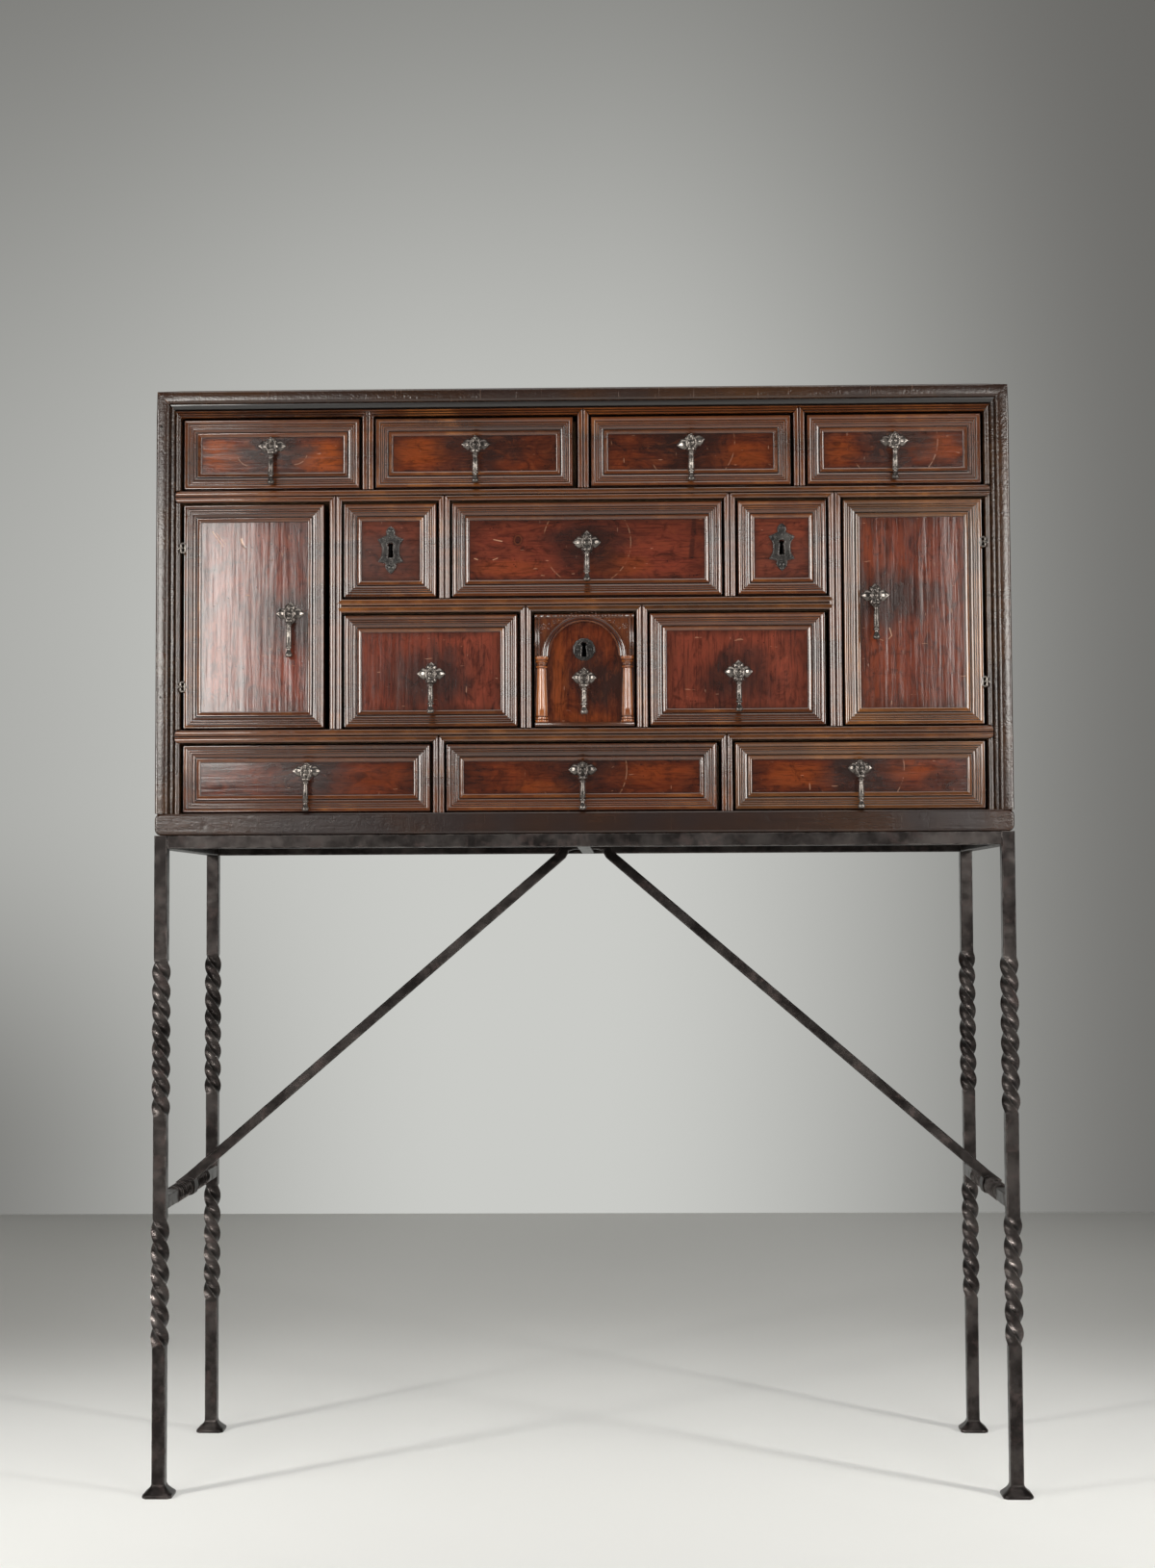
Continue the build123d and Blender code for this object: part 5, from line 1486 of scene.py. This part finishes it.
def make_arch_drawer():
    """The arched drawer: a plain panel behind an arch on two half columns, with carved spandrels."""
    node = "arch_drawer"
    low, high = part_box(node)
    x0, x1, z0, z1 = front_box(node)
    x = (low.x + high.x) / 2
    spring = arch_spring
    radius, band = 0.042, 0.0095
    rail_foot, plinth_top = z1 - 0.005, z0 + 0.005
    pivot = pendant_places[node]
    finish = panel_walnut(
        "arch_drawer_panel", (x - radius, z0), (x + radius, spring + radius), (pivot.x + 0.012, pivot.z),
        21.0, along=2, glow=0.9, smoke=0.5,
        embers=((-0.75, -0.1, 0.3, 0.9, 0.5), (0.0, -0.95, 0.9, 0.25, 0.4)),
    )

    bm = trimmed(cad_copy(node, front_board_only), x0, x1)
    bm = eased(widened(bm, x, arch_keyhole), 0.0003)
    finished("arch_drawer_panel", node, bm, [finish], [node])
    make_drawer_box(node)

    bm = fresh()
    outer = panel_face - 0.003

    def spandrel(across, up):
        angle = pi * (1 - across)
        inner = Vector((cos(angle) * radius, sin(angle) * radius))
        half_width, height = (x1 - x if across > 0.5 else x - x0), rail_foot - spring
        reach = min(half_width / max(abs(cos(angle)), 1e-6), height / max(sin(angle), 1e-6))
        far = Vector((cos(angle) * reach, sin(angle) * reach))
        point = inner.lerp(far, up)
        return Vector((x + point.x, outer, spring + point.y)), 0.7

    sheet(bm, 96, 4, spandrel, (0, 0.003, 0))
    studs = [(42.5, 40.0), (52.5, 29.0), (53.5, 23.0), (44.0, 34.5), (37.0, 43.2), (30.0, 44.0)]
    for side in (-1, 1):
        flower_x, flower_z, petal_reach = x + side * 0.0500, spring + 0.0368, 0.0030
        for step in range(6):
            angle = 2 * pi * step / 6 + 0.3
            petal_x, petal_z = flower_x + petal_reach * cos(angle), flower_z + petal_reach * sin(angle)
            nail_head(bm, petal_x, petal_z, outer, 0.0012, 0.0007)
        nail_head(bm, flower_x, flower_z, outer, 0.0013, 0.0009)
        for step in range(11):
            angle = radians(38 + 5.2 * step)
            reach = radius + band + 0.0028
            nail_head(bm, x + side * reach * cos(angle), spring + reach * sin(angle), outer, 0.0009, 0.0005)
        for index, (dx, dz) in enumerate(studs):
            stud_radius = 0.0010 + 0.0002 * (index % 2)
            nail_head(bm, x + side * dx * MM, spring + dz * MM, outer, stud_radius, 0.0006)
    finished("arch_spandrel", node, bm, [spandrel_wood], [node])

    bm = fresh()
    profile = [(0.0, 0.0, 0.0), (0.0, 5.2, 0.7)]
    profile += bead(0.1, 2.1, 5.4, 6.5, 5)
    profile += [(2.5, 4.7, 0.1), (4.6, 4.1, 0.45), (6.6, 4.6, 0.2)]
    profile += bead(6.9, 8.2, 4.9, 5.8, 4)
    profile += bead(8.3, 9.4, 4.0, 4.9, 4)
    profile += [(9.5, 0.0, 0.0)]
    profile = in_metres(profile)

    def round_arch(across, rise, share):
        angle = pi * share
        reach = radius + across
        return Vector((x + reach * cos(angle), panel_face - rise, spring + reach * sin(angle)))

    swept(bm, profile, 48, round_arch)
    finished("arch_band", node, bm, [spandrel_wood], [node])

    ring = 0.0082
    shaft_foot, shaft_top = plinth_top + 0.0085, spring - 0.0150
    turning = [(0.0, plinth_top, 0.4)]
    for width, up, shade in (
        (0.94, 0.0, 0.5), (1.0, 1.0, 0.9), (0.98, 2.6, 0.9), (0.80, 3.4, 0.1), (0.92, 4.4, 0.8),
        (0.92, 5.8, 0.8), (0.78, 6.6, 0.1),
    ):
        turning.append((ring * width, plinth_top + up * MM, shade))
    turning += [
        (0.0072, shaft_foot, 0.6),
        (0.0070, shaft_foot + 0.010, 1.0),
        (0.0064, (shaft_foot + shaft_top) / 2, 1.0),
        (0.0056, shaft_top - 0.006, 1.0),
        (0.0054, shaft_top, 0.6),
    ]
    for width, up, shade in (
        (6.396, 0.8, 0.2), (7.38, 2.2, 1.0), (6.396, 3.6, 0.1), (5.5, 4.6, 0.2), (5.6, 6.2, 0.4),
        (6.56, 7.4, 0.2), (7.872, 8.8, 1.0), (6.724, 10.2, 0.1), (7.216, 11.2, 0.4), (8.2, 12.6, 1.0),
        (8.2, 14.4, 0.8), (7.708, 15.0, 0.4), (0.0, 15.0, 0.4),
    ):
        turning.append((width * MM, shaft_top + up * MM, shade))
    for name, centre_x, finish in (
        ("arch_column_left", x0 + ring, gilded_left),
        ("arch_column_right", x1 - ring, gilded_right),
    ):
        bm = fresh()
        turned(bm, turning, (centre_x, panel_face, 0), steps=20, angle=pi, start=(-1, 0, 0))
        bmesh.ops.holes_fill(bm, edges=[edge for edge in bm.edges if edge.is_boundary], sides=0)
        bmesh.ops.recalc_face_normals(bm, faces=bm.faces)
        finished(name, node, bm, [finish], [node])

    bm = fresh()
    plank(bm, (x0, panel_face - 0.0065, z0), (x1, panel_face, plinth_top), 0.0009)
    plank(bm, (x0, panel_face - 0.0046, rail_foot), (x1, panel_face, z1), 0.0005)
    count = 15
    pitch = (x1 - x0) / count
    for index in range(count):
        middle = x0 + pitch * (index + 0.5)
        plank(
            bm, (middle - pitch * 0.34, panel_face - 0.0065, rail_foot + 0.0006),
            (middle + pitch * 0.34, panel_face - 0.0040, z1 - 0.0004), 0.0008,
        )
    for side in (-1, 1):
        edge_x = x1 - 0.0030 if side > 0 else x0 + 0.0030
        for offset in (-0.0014, 0.0016):
            plank(
                bm, (edge_x + offset - 0.0011, panel_face - 0.0058, spring + 0.0004),
                (edge_x + offset + 0.0011, panel_face - 0.0028, rail_foot), 0.0008,
            )
    finished("arch_rails", node, bm, [moulding_x], [node])


# Stand


leg_clip = 0.13


def leg_shape(distance):
    """A leg's half width and corner clip at a height: a splayed pad that is drawn up into the bar."""
    pad_top, neck_top, pad_clip = 0.0045, 0.016, 0.26
    if distance < pad_top:
        return 0.0180 - 0.0004 * (distance < 0.0005), pad_clip
    if distance < neck_top:
        share = (distance - pad_top) / (neck_top - pad_top)
        return 0.0172 + (half_bar - 0.0172) * sin(share * pi / 2), pad_clip + (leg_clip - pad_clip) * share
    return half_bar, leg_clip


def make_legs():
    """Four legs of square bar, each with two twisted lengths and a splayed foot."""
    bm = fresh()
    seed = 1.0
    for x in (-leg_x, leg_x):
        for y in (-leg_y, leg_y):
            seed += 2.7
            forged_bar(
                bm, (x, y, 0), (x, y, case_foot), (1, 0, 0), half_bar,
                twists=((0.1765, 0.330, -1.5), (0.453, 0.640, -2.0)),
                cuts=520, seed=seed, flare=leg_shape, hammer=0.00022,
            )
    foot_top = 0.0140
    for face in bm.faces:
        if face.calc_center_median().z < foot_top:
            face.material_index = 1
    finished("stand_legs_forged", "cabinet", bm, [stand_iron, foot_iron], ["stand_legs"])


def make_top_frame():
    """The bars under the case."""
    low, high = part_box("stand_top_frame")
    z = low.z + half_bar
    bm = fresh()
    for y in (low.y + half_bar, high.y - half_bar):
        start, end = (-leg_x + half_bar, y, z), (leg_x - half_bar, y, z)
        forged_bar(bm, start, end, (0, 1, 0), half_bar, cuts=60, seed=y * 20)
    for x, seed in ((-leg_x, leg_x * -9), (leg_x, leg_x * 9), (0, 2.2)):
        forged_bar(bm, (x, low.y + bar, z), (x, high.y - bar, z), (1, 0, 0), half_bar, cuts=24, seed=seed)
    finished("stand_top_bars", "cabinet", bm, [stand_iron], ["stand_top_frame"])


stretcher_reach = 0.170


def stretcher_shape(distance):
    """A stretcher's half width and corner clip: thinner where its ends meet the legs."""
    from_end = min(distance, 2 * stretcher_reach - distance)
    return (half_bar if from_end > 0.006 else 0.0078), leg_clip


def make_stretchers():
    """A bar between each side's legs, twisted on both sides of a plain middle."""
    bm = fresh()
    reach, near, far = stretcher_reach, 0.016, 0.104
    twists = ((reach - far, reach - near, -2.0), (reach + near, reach + far, -2.0))
    for x in (-leg_x, leg_x):
        forged_bar(
            bm, (x, -reach, stretcher_height), (x, reach, stretcher_height), (1, 0, 0), half_bar,
            twists=twists, cuts=260, seed=x * 4, flare=stretcher_shape,
        )
    finished("stand_stretchers_forged", "cabinet", bm, [stand_iron], ["stand_stretchers"])


def make_braces():
    """Two diagonal bars, each wrapped round a stretcher at its foot and turned level under the case."""
    half = 0.00625
    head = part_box("stand_braces")[1].z - half
    seat = stretcher_height + half_bar
    wrap_reach, strap_half, strap_half_width, last = 0.0098, 0.0014, 0.0027, 21
    bm = fresh()
    for side in (-1, 1):
        foot_x = side * leg_x
        route = [(side * 0.0086, 0, head), (side * 0.0164, 0, head), (side * 0.0265, 0, head - 0.004)]
        route += [(side * 0.030, 0, head - 0.0125)]
        route += [(foot_x - side * 0.004, 0, seat + 0.0040), (foot_x + side * 0.0110, 0, seat - 0.0075)]
        wire(bm, route, half, half, section=square_section(0.2), cuts=140, seed=side * 3.0, hammer=0.0002)
        wrap = []
        for step in range(last + 1):
            angle = radians(100 + 290 * step / last)
            reach = wrap_reach / max(abs(cos(angle)), abs(sin(angle))) ** 0.55
            turn = angle - pi / 2
            wrap.append((foot_x - side * reach * sin(turn), stretcher_height + reach * cos(turn)))
        for turn in (-1.5, -0.5, 0.5, 1.5):
            coil = [(px, turn * 0.0058 + 0.0026 * step / last, pz) for step, (px, pz) in enumerate(wrap)]
            wire(
                bm, coil, strap_half, strap_half_width, section=square_section(0.3), cuts=60,
                seed=side * 5.0 + turn, hammer=0.0002,
            )
    finished("stand_braces_forged", "cabinet", bm, [stand_iron], ["stand_braces"])


# Hinges


def make_hinges():
    """Interlocked loops: an eye on the case and a staple in each door's edge."""
    case_bm = fresh()
    shank_half, shank_back, eye_radius = 0.0013, hinge_axis_y + 0.027, 0.0025
    outline = [(0.0, -4.8), (0.0, 4.8), (1.2, 5.6), (4.3, 5.6), (5.3, 4.6), (5.3, -4.6)]
    outline += [(4.3, -5.6), (1.2, -5.6)]
    for door, side in (("left_door", -1), ("right_door", 1)):
        low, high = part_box(door)
        axis_x = low.x - 0.00075 if side < 0 else high.x + 0.00075
        shank_x, far = axis_x + side * 0.0026, axis_x - side * 0.0053
        bm = fresh()
        for level in hinge_levels:
            eye = []
            for across, back in circle(16):
                eye.append((axis_x + eye_radius * across, hinge_axis_y + eye_radius * back, level))
            wire(case_bm, eye, 0.0011, 0.0013, closed=True, cuts=31)
            start, end = (shank_x, hinge_axis_y + 0.0016, level), (shank_x, shank_back, level)
            forged_bar(case_bm, start, end, (1, 0, 0), shank_half, cuts=6, hammer=0.0)
            loop = [(axis_x - side * inward * MM, hinge_axis_y, level + up * MM) for inward, up in outline]
            wire(bm, loop, 0.0012, 0.0012, closed=True, cuts=63)
            start, end = (far, hinge_axis_y, level), (far, shank_back, level)
            forged_bar(bm, start, end, (1, 0, 0), shank_half, cuts=6, hammer=0.0)
        finished(door + "_loops", door, bm, [pull_iron], [door + "_ironwork"])
    finished("case_hinge_eyes", "cabinet", case_bm, [pull_iron], ["hinge_loops"])


# Build the object

front_marks = {
    "top_drawer_1": dict(
        glow=1.0, smoke=0.3, embers=((-0.72, 0.1, 0.3, 0.9, 0.8), (0.66, -0.1, 0.5, 0.9, 0.9)),
        soot=((0.05, 0.3, 0.5, 0.9, 0.4),),
    ),
    "top_drawer_2": dict(
        glow=0.7, smoke=0.5, embers=((-0.68, 0.15, 0.4, 0.9, 0.4), (-0.35, 0.2, 0.3, 0.7, 0.2)),
        soot=((0.55, 0.3, 0.5, 0.7, 0.45),),
    ),
    "top_drawer_3": dict(
        glow=0.7, smoke=0.6, embers=((0.55, -0.2, 0.5, 0.7, 0.3),), soot=((-0.5, 0.6, 0.7, 0.5, 0.3),),
    ),
    "top_drawer_4": dict(
        glow=0.8, smoke=0.5, embers=((0.45, 0.2, 0.5, 0.8, 0.4), (-0.75, 0.0, 0.3, 0.7, 0.35)),
    ),
    "left_door": dict(
        along=2, wavy=0.7, sheen=0.5, base=((100, 44, 32), (130, 60, 42)), glow=0.5, smoke=0.5,
        soot=((0.7, 0.8, 0.5, 0.5, 0.3),),
    ),
    "right_door": dict(
        along=2, wavy=0.8, base=((96, 42, 28), (118, 56, 36)), glow=0.4, smoke=0.3,
        soot=((0.1, 0.15, 0.5, 0.25, 0.45),),
    ),
    "small_drawer_left": dict(glow=0.4, smoke=0.4, hand=0.3, base=((86, 42, 30), (108, 54, 40))),
    "small_drawer_right": dict(glow=0.5, smoke=0.3, hand=0.3, base=((90, 42, 28), (116, 54, 38))),
    "long_drawer": dict(
        glow=0.5, smoke=0.3, base=((92, 40, 28), (114, 50, 36)),
        embers=((0.2, -0.5, 0.3, 0.4, 0.4), (-0.7, -0.6, 0.4, 0.3, 0.3)),
    ),
    "middle_drawer_left": dict(
        along=2, wavy=0.5, base=((110, 50, 36), (130, 62, 46)), glow=0.3, smoke=0.35,
        soot=((-0.6, -0.5, 0.4, 0.5, 0.25),),
    ),
    "middle_drawer_right": dict(along=2, wavy=0.5, base=((106, 48, 34), (126, 60, 44)), glow=0.3, smoke=0.3),
    "bottom_drawer_1": dict(glow=0.5, smoke=0.6, embers=((0.6, 0.0, 0.4, 0.8, 0.1),)),
    "bottom_drawer_2": dict(
        glow=0.6, smoke=0.6, embers=((-0.3, -0.6, 0.3, 0.5, 0.4), (0.55, 0.2, 0.5, 0.6, 0.15)),
    ),
    "bottom_drawer_3": dict(
        glow=0.5, smoke=0.5, embers=((-0.5, 0.1, 0.3, 0.8, 0.35), (0.45, 0.3, 0.3, 0.6, 0.3)),
        soot=((0.85, -0.2, 0.3, 0.7, 0.4), (-0.1, 0.5, 0.2, 0.5, 0.5)),
    ),
}
arc_radius = 0.0535
for front_name in ("top_drawer_3", "top_drawer_4", "long_drawer", "bottom_drawer_2", "bottom_drawer_3"):
    centre = pendant_places[front_name]
    front_marks[front_name]["arcs"] = [(centre.x, centre.z - rosette_drop, arc_radius, -2.6, 2.9)]
centre = pendant_places["long_drawer"]
front_marks["long_drawer"]["knots"] = [(-0.0778, 1.1499, 0.0070, 0.0090)]
front_marks["left_door"]["scars"] = [
    (-0.4525, 1.1640, -0.4395, 1.1450, 0.0005, -0.75),
    (-0.4480, 1.1620, -0.4362, 1.1480, 0.0004, -0.6),
    (-0.4170, 1.1540, -0.4160, 1.1500, 0.0014, -0.8),
    (-0.4160, 1.1500, -0.4130, 1.1440, 0.0012, -0.7),
    (-0.4145, 1.1460, -0.4120, 1.1440, 0.0014, 0.7),
]
front_marks["right_door"]["scars"] = [
    (0.3740, 1.0390, 0.3765, 1.0300, 0.0006, -0.7),
    (0.3765, 1.0300, 0.3730, 1.0260, 0.0006, -0.6),
    (0.3560, 1.0280, 0.3660, 1.0240, 0.0004, -0.5),
]
front_marks["top_drawer_1"]["arcs"] = [
    (-0.405, 1.262, 0.018, -2.9, -1.6),
    (-0.352, 1.262, 0.016, -1.6, -0.3),
]
front_marks["long_drawer"]["scars"] = [
    (-0.1075, 1.1512, -0.0975, 1.1490, 0.0006, -0.75),
    (-0.1310, 1.1280, -0.1275, 1.1268, 0.0007, -0.7),
    (-0.1085, 1.1262, -0.1030, 1.1283, 0.0006, -0.7),
    (centre.x + 0.127, centre.z - 0.024, centre.x + 0.129, centre.z - 0.004, 0.0032, 0.6),
    (centre.x + 0.130, centre.z + 0.004, centre.x + 0.131, centre.z + 0.022, 0.0030, 0.55),
    (centre.x - 0.080, centre.z - 0.012, centre.x - 0.078, centre.z - 0.010, 0.0020, 0.6),
]

small_rosettes = {"arch_drawer": 0.0150, "bottom_drawer_3": 0.0148}
petal_clearance = 0.0003

make_case_boards()
make_case_mouldings()
make_dividers()
for number, (front_name, marks) in enumerate(front_marks.items()):
    make_front(front_name, 3.0 + number * 1.7, **marks)
make_arch_drawer()
for front_name, pivot in pendant_places.items():
    mount_node = front_name + ("_ironwork" if front_name in doors else "_pull_mount")
    side_reach = small_rosettes.get(front_name, 0.0175)
    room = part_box(front_name)[1].z - moulding_width - petal_clearance - (pivot.z - rosette_drop)
    upright_reach = 0.0125 if front_name == "arch_drawer" else min(0.0145, room)
    tilt = radians(14) if front_name == "top_drawer_3" else 0.0
    make_pull_mount(front_name, mount_node, pivot, side_reach, upright_reach, tilt)
    make_pendant(front_name + "_pendant", pivot)
for front_name in small_drawers:
    make_shield(front_name)
arch_low, arch_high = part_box("arch_drawer_lock")
make_round_plate("arch_drawer", (arch_low.x + arch_high.x) / 2, arch_keyhole)
make_hinges()
make_legs()
make_top_frame()
make_stretchers()
make_braces()
for bolt in lock_bolts:
    for slot in frame["nodes"][bolt].material_slots:
        slot.material = plate_iron


# Floor, wall, lamps and camera


def seen_directly(finish):
    """1 for the camera, for reflections and through glass, and 0 for light that bounces."""
    ray = finish.node("ShaderNodeLightPath", output="Is Camera Ray")
    glossy = finish.node("ShaderNodeLightPath", output="Is Glossy Ray")
    clear = finish.node("ShaderNodeLightPath", output="Is Transmission Ray")
    return ray.largest(glossy).largest(clear)


floor_glow = 0.36


def floor_finish():
    """Pale floor paint. A part of it glows in a colour that paints light near the front and painted shade
    toward the wall and the sides; the rest is lit.
    """
    finish = Finish("floor_paint")
    x, y, _ = finish.parts(finish.place)
    # Painted shade: the glow's colour darkens toward the sides and the wall.
    sides = abs(x - 0.05).rising(0.35, 1.25) * y.rising(0.1, 1.0) * 0.94
    dusk = 1.0 - (1.0 - y.rising(-0.05, 1.25) * 0.72) * (1.0 - sides)
    colour = finish.blend(dusk, (236, 236, 233), (40, 40, 40))
    glow = finish.node("ShaderNodeEmission", None, {"Color": colour, "Strength": 1.0})
    paint = finish.node("ShaderNodeBsdfDiffuse", None, {"Color": tone(238, 238, 235)})
    return finish.shown(finish.mixed(seen_directly(finish) * floor_glow, paint, glow))


def wall_finish():
    """A wall whose colour paints light: a pale middle, with painted shade at its right, its top and its
    lower left.

    The camera and reflections see that painted colour as a glow, and it lights the room as pale paint does.
    It is clear from behind.
    """
    finish = Finish("wall_paint")
    x, _, z = finish.parts(finish.place)
    # Painted shade: the colour darkens toward the right, the top and the lower left.
    right = x.rising(-0.05, 1.4) * 0.92
    left = x.rising(-0.3, -1.7) * (0.40 + z.rising(1.0, 0.1) * 0.48)
    above = z.rising(1.3, 3.3) * 0.78
    dusk = 1.0 - (1.0 - right) * (1.0 - left) * (1.0 - above)
    colour = finish.blend(dusk, (202, 203, 199), (100, 99, 96))
    glow = finish.node("ShaderNodeEmission", None, {"Color": colour, "Strength": 1.0})
    paint = finish.node("ShaderNodeBsdfDiffuse", None, {"Color": colour})
    front = finish.mixed(seen_directly(finish), paint, glow)
    behind = finish.node("ShaderNodeNewGeometry", output="Backfacing")
    clear = finish.node("ShaderNodeBsdfTransparent")
    return finish.shown(finish.mixed(behind, front, clear))


def make_stage():
    """A pale floor that meets a pale wall behind the object."""
    reach = 6.0
    wall_place = Matrix.Translation((0, 2.45, 2.0)) @ Matrix.Rotation(pi / 2, 4, "X")
    for name, place, finish in (
        ("floor", Matrix.Identity(4), floor_finish()),
        ("wall", wall_place, wall_finish()),
    ):
        bm = bmesh.new()
        bmesh.ops.create_grid(bm, x_segments=1, y_segments=1, size=reach, matrix=place)
        mesh = bpy.data.meshes.new(name)
        bm.to_mesh(mesh)
        bm.free()
        mesh.materials.append(finish)
        linked(name, mesh)


def softbox(name, place, aim, width, height, power, colour=(255, 253, 248)):
    """A broad lamp aimed at a point."""
    lamp = bpy.data.lights.new(name, "AREA")
    lamp.shape = "RECTANGLE"
    lamp.size = width
    lamp.size_y = height
    lamp.energy = power
    lamp.color = tone(*colour)[:3]
    holder = linked(name, lamp)
    holder.location = place
    holder.rotation_euler = (Vector(aim) - Vector(place)).to_track_quat("-Z", "Y").to_euler()
    return lamp


make_stage()
softbox("left_softbox", (-1.34, -2.98, 1.38), (0, 0, 1.05), 0.98, 0.64, 24.0)
softbox("right_softbox", (1.40, -2.98, 1.38), (0, 0, 1.05), 0.92, 0.64, 21.0)
for lamp_name, lamp_x in (("low_lamp_left", -2.0), ("low_lamp_right", 2.1)):
    lamp = softbox(lamp_name, (lamp_x, -1.5, 0.95), (lamp_x * 0.1, 0.1, 0), 0.16, 0.26, 1.5)
    lamp.spread = radians(38)
for lamp_name, lamp_x, power in (("left_side", -2.45, 36.0), ("right_side", 2.45, 32.0)):
    softbox(lamp_name, (lamp_x, -1.6, 1.2), (0, 0, 1.0), 0.5, 1.9, power)
softbox("overhead", (0.0, -0.7, 3.6), (0, 0, 0.4), 2.6, 2.2, 34.0)

world = bpy.data.worlds.new("room")
scene.world = world
world.use_nodes = True
background = world.node_tree.nodes["Background"]
background.inputs["Color"].default_value = tone(210, 212, 216)
background.inputs["Strength"].default_value = 0.13


def make_camera():
    """The camera, level with the lower part of the case and a little to its right."""
    yaw, pitch, roll = radians(-1.239), radians(3.057), radians(-0.271)
    forward = Vector((sin(yaw) * cos(pitch), cos(yaw) * cos(pitch), sin(pitch)))
    right = Vector((cos(yaw), -sin(yaw), 0))
    up = right.cross(forward)
    side = right * cos(roll) + up * sin(roll)
    top = up * cos(roll) - right * sin(roll)
    lens = bpy.data.cameras.new("camera")
    lens.lens = 54.14
    lens.sensor_width = 36.0
    scene.camera = linked("camera", lens)
    place = Matrix.Translation((0.0554, -3.0333, 0.6986))
    turn = Matrix((side, top, -forward)).transposed().to_4x4()
    scene.camera.matrix_world = place @ turn


make_camera()
scene.view_settings.view_transform = "Standard"
